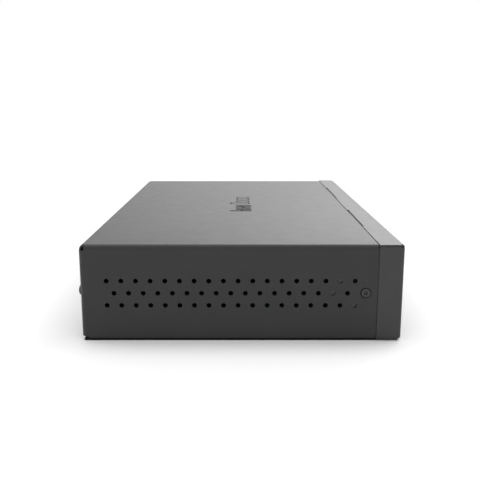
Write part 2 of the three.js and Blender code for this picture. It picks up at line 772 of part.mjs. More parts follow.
function insulatorSheet() {
  const top = trayFloor + insulatorThickness;
  const reach = [trayFloor - sheet, top + sheet];
  const cornerCut = Math.max(bossRadius + bossFoot, Math.hypot(bossInset, bossInset)) + insulatorMargin;
  const pocketCut = footRadius + pocketGap + sheet + insulatorMargin;
  const tools = powerBosses.map(([, x, y]) => rod('z', cornerCut, ...reach, [x, y, 0], holeSides));
  for (const foot of feet.filter(({ x, y }) => x > 0 && y > 0)) {
    tools.push(rod('z', pocketCut, ...reach, [foot.x, foot.y, 0]));
  }
  return cut(block([powerLeftX, boardX], [powerFrontY, powerRearY], [trayFloor, top]), tools);
}

// ---------------------------------------------------------------- front pieces
function jackHousing() {
  const half = jackWidth / 2;
  const tools = [];
  const into = [faceY - sheet, faceY + plugDepth];
  const latchStart = plugToMiddle + plugHeight;
  const rowSpan = (row, from, to) => [jackMiddleZ + row * from, jackMiddleZ + row * to].sort((a, b) => a - b);
  for (let column = 0; column < portColumns; column += 1) {
    const x = (column - (portColumns - 1) / 2) * portPitch;
    for (const row of bothSides) {
      const plug = rowSpan(row, plugToMiddle, latchStart);
      const latch = rowSpan(row, latchStart - latchOverlap, latchStart + latchHeight);
      tools.push(block([x - plugWidth / 2, x + plugWidth / 2], into, plug));
      tools.push(block([x - latchWidth / 2, x + latchWidth / 2], into, latch));
    }
  }
  return cut(block([-half, half], [faceY, faceY + jackDepth], [deckZ, jackTopZ]), tools);
}

function jackShield() {
  const inner = jackWidth / 2;
  const outer = inner + shieldSheet;
  const rear = faceY + jackDepth;
  const shell = block([-outer, outer], [faceY, rear + shieldSheet], [deckZ, jackTopZ + shieldSheet]);
  return cut(shell, [block([-inner, inner], [faceY - sheet, rear], [deckZ - sheet, jackTopZ])]);
}

function tipPlaces(side) {
  const places = [];
  for (let i = 0; i < portColumns * 2; i += 1) {
    places.push(side * jackX + ((i - portColumns + 0.5) * portPitch) / 2);
  }
  return places;
}

function lightGuide(xs, tips) {
  const legFoot = deckZ + ledHeight + layerGap;
  const legRear = guideLegY + guideThickness;
  const barTop = guideZ + guideThickness;
  const outline = [
    [tipRoot, guideZ], [guideLegY, guideZ], [guideLegY, legFoot],
    [legRear, legFoot], [legRear, barTop], [tipRoot, barTop],
  ];
  const pieces = [prism('x', outline, ...xs)];
  for (const x of tips) {
    pieces.push(rod('y', tipRadius, faceY, tipRoot + tipOverlap, [x, 0, tipZ], tipSides));
  }
  return union(pieces);
}

function ledBar(xs) {
  const span = [guideLegY - ledMargin, guideLegY + guideThickness + ledMargin];
  return block(xs, span, [deckZ, deckZ + ledHeight]);
}

function sfpCage() {
  const half = cageWidth / 2;
  const rear = faceY + cageLength;
  const inner = half - cageSheet;
  const shell = block([-half, half], [faceY, rear], [deckZ, deckZ + cageHeight]);
  const hollowZ = [deckZ + cageSheet, deckZ + cageHeight - cageSheet];
  const bootX = inner - cageBootInset;
  return cut(shell, [
    block([-inner, inner], [faceY - sheet, rear - cageSheet], hollowZ),
    block([-bootX, bootX], [rear - cageBootStart, rear - cageBootEnd], [deckZ - sheet, deckZ + sheet]),
  ]);
}

function sfpConnector() {
  const rear = faceY + cageLength;
  const front = rear - connectorFront;
  const slotLow = deckZ + connectorSlotLow;
  const halfBody = connectorWidth / 2;
  const halfSlot = connectorSlotWidth / 2;
  const body = block([-halfBody, halfBody], [front, rear - connectorRear], [deckZ, deckZ + connectorHeight]);
  const slotSpan = [front - sheet, front + connectorSlotDepth];
  return cut(body, [block([-halfSlot, halfSlot], slotSpan, [slotLow, slotLow + connectorSlotHeight])]);
}

function resetSwitch() {
  const front = tipRoot + resetStem + resetTravel + layerGap;
  const half = resetSwitchWidth / 2;
  const bodyZ = [deckZ, resetZ + resetSwitchRise];
  return block([resetX - half, resetX + half], [front, front + resetSwitchDepth], bodyZ);
}

function resetButton() {
  const tip = frontY + resetSetback;
  const end = tipRoot + resetStem;
  const collarFront = tipRoot - resetCollarSetback;
  const collarRear = collarFront + resetCollar;
  const collarRadius = resetRadius + resetCollar;
  return turned('y', [
    [0, tip], [resetRadius - resetChamfer, tip], [resetRadius, tip + resetChamfer],
    [resetRadius, collarFront], [collarRadius, collarFront], [collarRadius, collarRear],
    [resetRadius, collarRear], [resetRadius, end], [0, end],
  ], [resetX, 0, resetZ]);
}

function modeSwitch() {
  const sweep = modeTravel / 2 + knobWidth / 2;
  const half = sweep + modeSwitchMargin;
  const grooveHalf = sweep + runningGap;
  const grooveHeight = knobHeight / 2 + runningGap;
  const bodyZ = [deckZ, modeZ + modeSwitchRise];
  const body = block([modeX - half, modeX + half], [modeFront, modeFront + modeSwitchDepth], bodyZ);
  return cut(body, [block(
    [modeX - grooveHalf, modeX + grooveHalf],
    [modeFront - sheet, modeFront + modeGroove + runningGap],
    [modeZ - grooveHeight, modeZ + grooveHeight],
  )]);
}

// The knob rests at the left end of its slot.
function modeKnob() {
  const x = modeX - modeTravel / 2;
  const stem = block(
    [x - knobWidth / 2, x + knobWidth / 2],
    [frontY + knobSetback, modeFront + modeGroove],
    [modeZ - knobHeight / 2, modeZ + knobHeight / 2],
  );
  const collarFront = frontY + panelSheet + runningGap;
  const collarHalf = knobHeight * knobCollarShare;
  const collar = block(
    [x - knobWidth, x + knobWidth],
    [collarFront, collarFront + knobCollar],
    [modeZ - collarHalf, modeZ + collarHalf],
  );
  return stem.add(collar);
}

// A base with fins as wide as the channels between them.
function chipSink(y) {
  const low = deckZ + chipHeight + layerGap;
  const half = sinkSize / 2;
  const cell = sinkSize / (2 * sinkFins - 1);
  const ys = [y - half, y + half];
  const body = block([-half, half], ys, [low, low + sinkHeight]);
  const channelY = [ys[0] - sheet, ys[1] + sheet];
  const channelZ = [low + sinkBase, low + 2 * sinkHeight];
  const channels = [];
  for (let i = 0; i < sinkFins - 1; i += 1) {
    const left = -half + (2 * i + 1) * cell;
    channels.push(block([left, left + cell], channelY, channelZ));
  }
  return cut(body, channels);
}

function addFrontPieces() {
  for (const [side, end] of [[-1, 'left'], [1, 'right']]) {
    const jacks = new THREE.Group();
    jacks.position.x = side * jackX;
    networkSwitch.add(jacks);
    addMesh(`jack_housing_${end}`, jackHousing(), blackPlastic, jacks);
    addMesh(`jack_shield_${end}`, jackShield(), tinnedSteel, jacks);
    const reach = jackWidth / 2 - guideSideInset;
    const span = [side * jackX - reach, side * jackX + reach];
    addMesh(`light_guide_${end}`, lightGuide(span, tipPlaces(side)), clearPlastic);
    addMesh(`led_bar_${end}`, ledBar(span), film);
  }
  const powerSpan = [powerLightX - powerGuideHalf, powerLightX + powerGuideHalf];
  addMesh('light_guide_power', lightGuide(powerSpan, [powerLightX]), clearPlastic);
  addMesh('led_power', ledBar(powerSpan), film);
  for (const cage of [1, 2]) {
    const slot = new THREE.Group();
    slot.position.x = cageX + (cage - 1) * cagePitch;
    networkSwitch.add(slot);
    addMesh(`sfp_cage_${cage}`, sfpCage(), tinnedSteel, slot);
    addMesh(`sfp_connector_${cage}`, sfpConnector(), blackPlastic, slot);
  }
  addMesh('reset_switch', resetSwitch(), greyPlastic);
  addMesh('reset_button', resetButton(), blackPlastic);
  addMesh('mode_switch', modeSwitch(), greyPlastic);
  addMesh('mode_knob', modeKnob(), blackPlastic);
}

function addMainBoard() {
  addMesh('main_board', boardPlate([-boardX, boardX], [boardFrontY, mainRearY], mainBosses), boardGreen);
  const half = chipSize / 2;
  const chipY = mainRearY - sinkSize / 2 - sinkRearGap;
  const chip = block([-half, half], [chipY - half, chipY + half], [deckZ, deckZ + chipHeight]);
  addMesh('switch_chip', chip, blackPlastic);
  addMesh('chip_heat_sink', chipSink(chipY), aluminium);
}

// ---------------------------------------------------------------- power supply
function powerInlet() {
  const halfX = inletWidth / 2;
  const halfZ = inletHeight / 2;
  const body = block([-halfX, halfX], [inletRear, inletFace], [-halfZ, halfZ]);
  const outX = halfX + inletRimWidth;
  const outZ = halfZ + inletRimWidth;
  const rim = block([-outX, outX], [inletFace - inletRim, inletFace], [-outZ, outZ]);
  const socketX = halfX - inletWall;
  const socketZ = halfZ - inletWall;
  const socketY = [inletRear + inletFloor, inletFace + sheet];
  const tools = [block([-socketX, socketX], socketY, [-socketZ, socketZ])];
  const slotSpan = [inletRear - sheet, inletRear + inletFloor + sheet];
  const reachX = pinWidth / 2 + threadGap;
  const reachZ = pinHeight / 2 + threadGap;
  for (const { x, z } of pinPlaces()) {
    tools.push(block([x - reachX, x + reachX], slotSpan, [z - reachZ, z + reachZ]));
  }
  return cut(body.add(rim), tools);
}

function pinPlaces() {
  return [
    { name: 'line', x: -pinPitch / 2, z: -pinDrop },
    { name: 'earth', x: 0, z: pinOffset - pinDrop },
    { name: 'neutral', x: pinPitch / 2, z: -pinDrop },
  ];
}

// Each pin runs back through the inlet and turns down to the power board.
function inletPin({ x, z }) {
  const xs = [x - pinWidth / 2, x + pinWidth / 2];
  const tail = inletRear - pinTail;
  const blade = block(xs, [tail, inletFace - pinSetback], [z - pinHeight / 2, z + pinHeight / 2]);
  return blade.add(block(xs, [tail, tail + pinLeg], [deckZ - middleZ, z]));
}

function addInlet() {
  const inlet = new THREE.Group();
  inlet.position.set(inletX, 0, middleZ);
  networkSwitch.add(inlet);
  addMesh('power_inlet', powerInlet(), blackPlastic, inlet);
  for (const pin of pinPlaces()) {
    addMesh(`inlet_pin_${pin.name}`, inletPin(pin), tinnedSteel, inlet);
  }
}

function transformerCore() {
  const halfX = coreWidth / 2;
  const ys = [coreY - coreThickness / 2, coreY + coreThickness / 2];
  const whole = block([coreX - halfX, coreX + halfX], ys, [deckZ, deckZ + coreHeight]);
  const windows = bothSides.map((side) => {
    const edges = [coreX + (side * coreLeg) / 2, coreX + side * (halfX - coreYoke)].sort((a, b) => a - b);
    const cutSpan = [ys[0] - sheet, ys[1] + sheet];
    return block(edges, cutSpan, [deckZ + coreYoke, deckZ + coreHeight - coreYoke]);
  });
  return cut(whole, windows);
}

function roundedRectangle(x, y, halfX, halfY, radius) {
  const points = [];
  for (const [signX, signY, start] of [[1, 1, 0], [-1, 1, 90], [-1, -1, 180], [1, -1, 270]]) {
    for (const step of [0, 45, 90]) {
      const angle = THREE.MathUtils.degToRad(start + step);
      points.push([
        x + signX * (halfX - radius) + radius * Math.cos(angle),
        y + signY * (halfY - radius) + radius * Math.sin(angle),
      ]);
    }
  }
  return points;
}

function transformerWinding() {
  const legX = coreLeg / 2 + windingGap;
  const legY = coreThickness / 2 + windingGap;
  const outX = coreWidth / 2 - coreYoke - windingGap;
  const outY = legY + outX - legX;
  const low = deckZ + coreYoke + windingGap;
  const high = deckZ + coreHeight - coreYoke - windingGap;
  const outside = prism('z', roundedRectangle(coreX, coreY, outX, outY, windingRadius), low, high);
  const windowZ = [low - sheet, high + sheet];
  const window = block([coreX - legX, coreX + legX], [coreY - legY, coreY + legY], windowZ);
  return cut(outside, [window]);
}

function capacitor(radius, tall, x, y) {
  const top = deckZ + tall;
  return turned('z', [
    [0, deckZ], [radius - canFoot, deckZ], [radius, deckZ + canFoot], [radius, top - canShoulder],
    [radius - canShoulder, top], [0, top],
  ], [x, y, 0], holeSides);
}

function lineChoke(x, y) {
  const geometry = new THREE.TorusGeometry(chokeRing, chokeThick, 8, 16);
  geometry.applyMatrix4(extrudeFrame.x);
  geometry.translate(x, y, deckZ + chokeRing + chokeThick);
  return solid(geometry);
}

function fuse(x, y) {
  const end = fuseLength / 2;
  const glass = end - fuseCap;
  const glassRadius = fuseRadius - fuseGlassInset;
  return turned('x', [
    [0, -end], [fuseRadius, -end], [fuseRadius, -glass], [glassRadius, -glass], [glassRadius, glass],
    [fuseRadius, glass], [fuseRadius, end], [0, end],
  ], [x, y, deckZ + fuseRadius + fuseLift]);
}

// An upright web with fins to its right.
function powerSink(x, y) {
  const ys = [y - finsLength / 2, y + finsLength / 2];
  const topFin = deckZ + finLow + (finCount - 1) * finPitch;
  const pieces = [block([x, x + finsWeb], ys, [deckZ, topFin + finThickness])];
  for (let i = 0; i < finCount; i += 1) {
    const low = deckZ + finLow + i * finPitch;
    pieces.push(block([x, x + finsReach], ys, [low, low + finThickness]));
  }
  return union(pieces);
}

function dcHeader(y) {
  const span = [headerX - headerWidth / 2, headerX + headerWidth / 2];
  return block(span, [y - headerDepth / 2, y + headerDepth / 2], [deckZ, deckZ + headerHeight]);
}

function dcCable(frontHeader, rearHeader) {
  const low = deckZ + headerHeight + layerGap;
  const half = cableThickness / 2;
  const reach = headerWidth / 2 - cableInset;
  const path = foldedSheet([
    [rearHeader + half, low], [rearHeader + half, low + cableArch],
    [frontHeader - half, low + cableArch], [frontHeader - half, low],
  ], cableThickness);
  return prism('x', path, headerX - reach, headerX + reach);
}

function addPowerSupply() {
  addMesh('power_board', boardPlate([powerLeftX, boardX], [powerFrontY, powerRearY], powerBosses), boardTan);
  addMesh('insulator_sheet', insulatorSheet(), film);
  addMesh('transformer_core', transformerCore(), ferrite);
  addMesh('transformer_winding', transformerWinding(), tape);
  const bulkPlace = [boardX - bulkFromRight, powerFrontY + bulkFromFront];
  const outputPlace = [powerLeftX + outputFromLeft, powerFrontY + outputFromFront];
  const chokePlace = [boardX - chokeFromRight, powerRearY - chokeFromRear];
  const fusePlace = [powerLeftX + fuseFromLeft, powerRearY - fuseFromRear];
  const finsPlace = [powerLeftX + finsFromLeft, powerFrontY + finsFromFront];
  addMesh('bulk_capacitor', capacitor(bulkRadius, bulkHeight, ...bulkPlace), sleeve);
  addMesh('output_capacitor', capacitor(outputRadius, outputHeight, ...outputPlace), sleeve);
  addMesh('line_choke', lineChoke(...chokePlace), copper);
  addMesh('fuse', fuse(...fusePlace), film);
  addMesh('power_heat_sink', powerSink(...finsPlace), aluminium);
  const frontHeader = mainRearY - headerDepth;
  const rearHeader = powerFrontY + headerDepth;
  addMesh('dc_header_main', dcHeader(frontHeader), film);
  addMesh('dc_header_power', dcHeader(rearHeader), film);
  addMesh('dc_cable', dcCable(frontHeader, rearHeader), redWire);
}

// ---------------------------------------------------------------- build
addMesh('top_cover', topCover(), coverPaint);
addMesh('base_tray', baseTray(), trayPaint);
addMesh('front_panel', frontPanel(), panelPaint);
addFeet();
addFasteners();
addMainBoard();
addFrontPieces();
addPowerSupply();
addInlet();

export default networkSwitch;
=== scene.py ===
import math
import random

import bmesh
import bpy
from mathutils import Matrix, Vector


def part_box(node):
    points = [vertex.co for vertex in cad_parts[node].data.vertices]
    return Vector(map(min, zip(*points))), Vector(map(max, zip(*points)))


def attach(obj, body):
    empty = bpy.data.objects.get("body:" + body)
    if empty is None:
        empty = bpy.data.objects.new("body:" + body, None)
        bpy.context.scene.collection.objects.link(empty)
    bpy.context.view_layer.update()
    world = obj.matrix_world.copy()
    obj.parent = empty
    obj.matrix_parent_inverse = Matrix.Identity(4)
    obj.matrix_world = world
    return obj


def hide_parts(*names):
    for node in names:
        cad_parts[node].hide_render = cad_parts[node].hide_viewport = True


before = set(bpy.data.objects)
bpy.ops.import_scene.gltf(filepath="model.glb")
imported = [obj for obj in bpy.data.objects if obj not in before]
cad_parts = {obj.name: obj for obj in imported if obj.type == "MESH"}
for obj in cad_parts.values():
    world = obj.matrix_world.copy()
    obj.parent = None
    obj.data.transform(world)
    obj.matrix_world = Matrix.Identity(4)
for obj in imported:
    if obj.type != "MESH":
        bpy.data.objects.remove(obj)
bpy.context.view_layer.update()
random.seed(7)

# Everything below is in millimetres and turned to metres when a mesh is made.
MM = 0.001


def cad(node):
    """Lowest and highest corner of a CAD node, in millimetres."""
    low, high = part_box(node)
    return low / MM, high / MM


def middle(node):
    low, high = cad(node)
    return (low + high) / 2


# ---------------------------------------------------------------- sizes
cover_low, cover_high = cad("top_cover")
panel_low, panel_high = cad("front_panel")
tray_low, tray_high = cad("base_tray")

# Sheet metal: thicknesses, inside radii of the folds, and the gaps at the corners and between layers.
SHEET = 1.0
PANEL_SHEET = 0.8
BEND = 1.4
PANEL_BEND = 0.5
TRAY_BEND = 0.5
CORNER_RELIEF = 2.5
PANEL_RELIEF = 1.5
SLIT = 0.15
LAYER = 0.1
NEST = 0.3
REAR_FLANGE = 11.5
REAR_LIFT = 1.9
LIP_HEIGHT = 7.0
CHANNEL_WALL = 12.0
EDGE = 0.06
TRAY_EDGE = 0.08

# The panel's two tabs under the cover, and the notches beside them.
TAB_WIDTH = 46.5
TAB_PITCH = 95.0
TAB_REACH = 6.0
TAB_SLOT = 0.7
NOTCH_WIDTH = 0.8
NOTCH_DEPTH = 1.3

# How far a cutter runs past the surface that it cuts.
PAST = 1
PAST_FACE = 0.2
PAST_CORNER = 30

COVER_X = cover_high.x
COVER_TOP = cover_high.z
COVER_BOTTOM = cover_low.z
COVER_FRONT = cover_low.y
REAR_Y = cover_high.y
CEILING = COVER_TOP - SHEET
SIDE_X = panel_high.x
FRONT_Y = panel_low.y
PANEL_TOP = panel_high.z
PANEL_BOTTOM = panel_low.z
SEAM_Y = COVER_FRONT - 0.06
RIM_X = tray_high.x
TRAY_X = COVER_X - SHEET - NEST
TRAY_LOW = tray_low.z
TRAY_FLOOR = TRAY_LOW + SHEET
TONGUE_Z = PANEL_BOTTOM + PANEL_SHEET + LAYER
TONGUE_FRONT = FRONT_Y + PANEL_SHEET + 0.5
WALL_OUTER = REAR_Y - SHEET - LAYER
WALL_INNER = WALL_OUTER - SHEET
MIDDLE_Z = 22.0

# Three rows of vents on each side, the middle row one short and set half a pitch over.
VENT_PITCH = 6.46
VENT_RADIUS = 1.07
VENT_COUNT = 18
VENT_CENTRE_Y = 4.7
VENT_RISE = VENT_PITCH * math.sin(math.pi / 3)

# Screw holes and other openings: radii, and places on the case.
HOLE = 1.5
HEAD_HOLE = 2.6
SIDE_SCREW_Y = SEAM_Y + 5.4
REAR_SCREW_X = COVER_X - 5.8
PANEL_SCREW = (SIDE_X - 29.5, (SEAM_Y + TONGUE_FRONT) / 2)
GROUND_X = -SIDE_X + 31.5
LOCK_X = -SIDE_X + 15.5
REAR_LOW = 14.0
LOCK_SLOT = (3.5, 1.5, 0.5)
INLET_OPENING = (13.8, 10.1)
KEYHOLE_X = SIDE_X - 45.5
KEYHOLE_RADIUS = 4
KEYHOLE_SLOT = (2.1, 9)
FOOT_X = SIDE_X - 23.5
FOOT_Y = 50.0
FOOT_POCKET = 6.6
POCKET_DEPTH = 1.5
EAR_SLOT = 1.7

BOARD_LOW = cad("main_board")[0].z
BOARD_TOP = cad("main_board")[1].z
CAGE_X = [middle("sfp_cage_1").x, middle("sfp_cage_2").x]
TIP_Z = cad("light_guide_left")[1].z - 1.3
RESET = (middle("reset_button").x, middle("reset_button").z)
MODE = (middle("mode_switch").x, middle("mode_knob").z)
POWER_LIGHT_X = middle("led_power").x
INLET_X = middle("power_inlet").x
KEYHOLE_Y = (cad("main_board")[1].y + cad("power_board")[0].y) / 2
CORNERS = [f"{end}_{side}" for end in ("front", "rear") for side in ("left", "right")]
BOSSES = [f"{board}_screw_{corner}" for board in ("board", "power") for corner in CORNERS]

PORT_PITCH = 13.97
PORTS = 4
JACK_WIDTH = PORTS * PORT_PITCH + 0.6
JACK_DEPTH = 25.0
JACK_ROW = 13.3
JACK_X = JACK_WIDTH / 2 + 1.75
SHIELD = 0.4
PLUG = (11.9, 6.9, 13.5)
LATCH = (6.4, 2.3)
PLUG_TO_MIDDLE = 1.6
FACE_Y = FRONT_Y + 0.2
CONTACT_PITCH = 1.02
CAGE_WIDTH = 14.4
CAGE_HEIGHT = 9.6
TIP_RADIUS = 1.2
TIP_GAP = 0.3
BUTTON_HOLE = 1.85
KNOB_HALF = 1.3
KNOB_HALF_HEIGHT = 1.2
KNOB_TRAVEL = 3.0
KNOB_GAP = 0.25


# ---------------------------------------------------------------- mesh helpers
def new_object(name, mesh):
    obj = bpy.data.objects.new(name, mesh)
    bpy.context.scene.collection.objects.link(obj)
    return obj


def from_bmesh(name, bm):
    mesh = bpy.data.meshes.new(name)
    bmesh.ops.scale(bm, vec=(MM, MM, MM), verts=bm.verts)
    bmesh.ops.recalc_face_normals(bm, faces=bm.faces)
    bm.to_mesh(mesh)
    bm.free()
    return new_object(name, mesh)


PLACE = {
    "x": lambda a, b, along: (along, a, b),
    "y": lambda a, b, along: (a, along, b),
    "z": lambda a, b, along: (a, b, along),
}


def prism(axis, outline, low, high, name="prism"):
    """An outline pushed along an axis: its points are (y, z) for x, (x, z) for y and (x, y) for z."""
    bm = bmesh.new()
    ends = []
    for along in (low, high):
        ends.append([bm.verts.new(PLACE[axis](a, b, along)) for a, b in outline])
    count = len(outline)
    bm.faces.new(ends[0])
    bm.faces.new(reversed(ends[1]))
    for i in range(count):
        j = (i + 1) % count
        bm.faces.new((ends[0][i], ends[1][i], ends[1][j], ends[0][j]))
    return from_bmesh(name, bm)


def block(x, y, z, name="block"):
    return prism("z", [(x[0], y[0]), (x[1], y[0]), (x[1], y[1]), (x[0], y[1])], z[0], z[1], name)


def turned(axis, profile, centre, sides=48, name="turned"):
    """A closed profile of (radius, distance) points turned about an axis through a centre."""
    bm = bmesh.new()
    rings = []
    for radius, along in profile:
        count = 1 if radius == 0 else sides
        ring = []
        for i in range(count):
            angle = 2 * math.pi * i / sides
            a, b = radius * math.cos(angle), radius * math.sin(angle)
            point = Vector(PLACE[axis](a, b, along)) + Vector(centre)
            ring.append(bm.verts.new(point))
        rings.append(ring)
    for lower, upper in zip(rings, rings[1:]):
        for i in range(sides):
            j = (i + 1) % sides
            corners = [lower[i % len(lower)], lower[j % len(lower)]]
            corners += [upper[j % len(upper)], upper[i % len(upper)]]
            unique = list(dict.fromkeys(corners))
            if len(unique) > 2:
                bm.faces.new(unique)
    return from_bmesh(name, bm)


def rod(axis, radius, low, high, centre, sides=32):
    return turned(axis, [(0, low), (radius, low), (radius, high), (0, high)], centre, sides)


def folded_sheet(path, thickness, inside=BEND, steps=6):
    """The outline of folded sheet: the path runs along one face, the sheet lies on its left."""
    near, far = [], []
    points = [Vector(p) for p in path]
    left = lambda d: Vector((-d.y, d.x))
    for i, point in enumerate(points):
        before = (point - points[i - 1]).normalized() if i else None
        after = (points[i + 1] - point).normalized() if i < len(points) - 1 else None
        if before is None or after is None:
            near.append(point)
            far.append(point + left(before or after) * thickness)
            continue
        turn = math.atan2(before.x * after.y - before.y * after.x, before.dot(after))
        side = math.copysign(1, turn)
        near_radius = inside + thickness if side > 0 else inside
        far_radius = inside if side > 0 else inside + thickness
        centre = point - before * near_radius * math.tan(abs(turn) / 2) + left(before) * side * near_radius
        count = max(2, round(abs(turn) / (math.pi / 2) * steps))
        for step in range(count + 1):
            angle = turn * step / count
            spoke = Matrix.Rotation(angle, 2) @ (left(before) * -side)
            near.append(centre + spoke * near_radius)
            far.append(centre + spoke * far_radius)
    return [tuple(p) for p in near + far[::-1]]


def sided(outline, side):
    """An outline as it is for side 1, or mirrored for side -1."""
    return [(side * a, b) for a, b in outline]


def applied(obj):
    """Bakes an object's modifiers into its mesh."""
    depsgraph = bpy.context.evaluated_depsgraph_get()
    mesh = bpy.data.meshes.new_from_object(obj.evaluated_get(depsgraph))
    obj.modifiers.clear()
    obj.data = mesh
    return obj


def joined(objects):
    """Several loose pieces as one mesh."""
    bm = bmesh.new()
    for obj in objects:
        bm.from_mesh(obj.data)
        bpy.data.objects.remove(obj)
    mesh = bpy.data.meshes.new("joined")
    bm.to_mesh(mesh)
    bm.free()
    return new_object("joined", mesh)


def boolean(body, tool, operation):
    modifier = body.modifiers.new("boolean", "BOOLEAN")
    modifier.operation = operation
    modifier.solver = "EXACT"
    modifier.object = tool
    applied(body)
    bpy.data.objects.remove(tool)
    return body


def union(objects):
    body = objects[0]
    for other in objects[1:]:
        boolean(body, other, "UNION")
    return body


def cut(body, tools):
    """Cuts away tools that don't touch each other."""
    return boolean(body, joined(tools), "DIFFERENCE")


def placed(obj, where=(0, 0, 0), facing=(0, 0, 1)):
    """Turns a piece made facing +Z and moves it, in millimetres."""
    turn = Vector((0, 0, 1)).rotation_difference(Vector(facing)).to_matrix().to_4x4()
    obj.data.transform(Matrix.Translation(Vector(where) * MM) @ turn)
    return obj


def swept(points, radius, sides=10, name="swept"):
    """A round section carried along a path, with flat ends."""
    bm = bmesh.new()
    points = [Vector(p) for p in points]
    rings = []
    side = Vector((0, 0, 1))
    for i, point in enumerate(points):
        ahead = (points[min(i + 1, len(points) - 1)] - points[max(i - 1, 0)]).normalized()
        if abs(ahead.dot(side)) > 0.95:
            side = Vector((1, 0, 0)) if abs(ahead.x) < 0.9 else Vector((0, 1, 0))
        side = (side - ahead * side.dot(ahead)).normalized()
        up = ahead.cross(side)
        ring = []
        for k in range(sides):
            angle = 2 * math.pi * k / sides
            ring.append(bm.verts.new(point + (side * math.cos(angle) + up * math.sin(angle)) * radius))
        rings.append(ring)
    for lower, upper in zip(rings, rings[1:]):
        for k in range(sides):
            n = (k + 1) % sides
            bm.faces.new((lower[k], lower[n], upper[n], upper[k]))
    bm.faces.new(rings[0])
    bm.faces.new(reversed(rings[-1]))
    return from_bmesh(name, bm)


def rounded_rectangle(half_a, half_b, radius, centre=(0, 0), steps=5):
    points = []
    for sign_a, sign_b, start in ((1, 1, 0), (-1, 1, 90), (-1, -1, 180), (1, -1, 270)):
        for step in range(steps + 1):
            angle = math.radians(start + 90 * step / steps)
            points.append((
                centre[0] + sign_a * (half_a - radius) + radius * math.cos(angle),
                centre[1] + sign_b * (half_b - radius) + radius * math.sin(angle),
            ))
    return points


def soften(obj, width=EDGE, segments=2, angle=35):
    """Rounds the hard edges and shades the rest smooth."""
    modifier = shaded_smooth(obj).modifiers.new("edges", "BEVEL")
    modifier.width = width * MM
    modifier.segments = segments
    modifier.limit_method = "ANGLE"
    modifier.angle_limit = math.radians(angle)
    modifier.use_clamp_overlap = False
    modifier.harden_normals = True
    return applied(obj)


def shaded_smooth(obj):
    obj.data.polygons.foreach_set("use_smooth", [True] * len(obj.data.polygons))
    return obj


# ---------------------------------------------------------------- materials
class Shader:
    """A principled material with its texture nodes laid out by a few calls."""

    def __init__(self, name, colour, roughness, metallic=0.0, specular=0.5, **inputs):
        self.material = bpy.data.materials.new(name)
        self.material.use_nodes = True
        self.nodes = self.material.node_tree.nodes
        self.links = self.material.node_tree.links
        self.bsdf = self.nodes["Principled BSDF"]
        self.bsdf.inputs["Base Color"].default_value = (*colour, 1)
        self.bsdf.inputs["Roughness"].default_value = roughness
        self.bsdf.inputs["Metallic"].default_value = metallic
        self.bsdf.inputs["Specular IOR Level"].default_value = specular
        for key, value in inputs.items():
            self.bsdf.inputs[key.replace("_", " ")].default_value = value
        self.where = self.nodes.new("ShaderNodeTexCoord").outputs["Object"]
        self.colour = colour
        self.roughness = roughness

    def noise(self, scale, detail=3.0, stretch=None):
        node = self.nodes.new("ShaderNodeTexNoise")
        node.inputs["Scale"].default_value = scale
        node.inputs["Detail"].default_value = detail
        source = self.where
        if stretch:
            mapping = self.nodes.new("ShaderNodeMapping")
            mapping.inputs["Scale"].default_value = stretch
            self.links.new(source, mapping.inputs["Vector"])
            source = mapping.outputs["Vector"]
        self.links.new(source, node.inputs["Vector"])
        return node.outputs["Fac"]

    def ramp(self, value, low, high, at=(0.35, 0.65)):
        node = self.nodes.new("ShaderNodeValToRGB")
        for stop, place, shade in zip(node.color_ramp.elements, at, (low, high)):
            stop.position = place
            stop.color = (*shade, 1)
        self.links.new(value, node.inputs["Fac"])
        return node.outputs["Color"]

    def multiply(self, first, second):
        node = self.nodes.new("ShaderNodeMix")
        node.data_type = "RGBA"
        node.blend_type = "MULTIPLY"
        node.inputs["Factor"].default_value = 1
        self.links.new(first, node.inputs["A"])
        self.links.new(second, node.inputs["B"])
        return node.outputs["Result"]

    def mottle(self, scale, amount, fine=2500):
        """Slow and fine variation of the base colour, by a share of it."""
        shades = []
        for size, share in ((scale, amount), (fine, amount * 0.8)):
            low, high = 1 - share, 1 + share
            shades.append(self.ramp(self.noise(size), [low] * 3, [high] * 3))
        tint = self.multiply(*shades)
        base = self.nodes.new("ShaderNodeRGB")
        base.outputs[0].default_value = (*self.colour, 1)
        self.links.new(self.multiply(base.outputs[0], tint), self.bsdf.inputs["Base Color"])
        return self

    def uneven_gloss(self, scale, amount):
        node = self.nodes.new("ShaderNodeMapRange")
        node.inputs["To Min"].default_value = self.roughness - amount
        node.inputs["To Max"].default_value = self.roughness + amount
        self.links.new(self.noise(scale), node.inputs["Value"])
        self.links.new(node.outputs["Result"], self.bsdf.inputs["Roughness"])
        return self

    def bumps(self, *layers, stretch=None):
        """Each layer is (scale, height in mm)."""
        normal = None
        for scale, height in layers:
            node = self.nodes.new("ShaderNodeBump")
            node.inputs["Strength"].default_value = 1
            node.inputs["Distance"].default_value = height * MM
            self.links.new(self.noise(scale, 2.0, stretch), node.inputs["Height"])
            if normal:
                self.links.new(normal, node.inputs["Normal"])
            normal = node.outputs["Normal"]
        self.links.new(normal, self.bsdf.inputs["Normal"])
        return self


def grey(level):
    return (level, level, level)


def powder_coat(name, level, roughness, specular):
    shader = Shader(name, grey(level), roughness, specular=specular)
    shader.mottle(60, 0.04).uneven_gloss(140, 0.03).bumps((3200, 0.012), (700, 0.01))
    return shader.material


cover_paint = powder_coat("cover_paint", 0.0235, 0.38, 0.27)
panel_paint = powder_coat("panel_paint", 0.031, 0.36, 0.33)
# Painted shade: the tray's black paint is set darker than the paint itself, so the band along its bottom
# edges shows black like a contact shadow.
tray_paint = powder_coat("tray_paint", 0.005, 0.55, 0.12)
ear_paint = powder_coat("ear_paint", 0.09, 0.4, 0.3)


def simple(name, colour, roughness, metallic=0.0, mottle=0.08, bump=(2500, 0.006), **inputs):
    shader = Shader(name, colour, roughness, metallic, **inputs)
    return shader.mottle(300, mottle).uneven_gloss(260, 0.05).bumps(bump).material


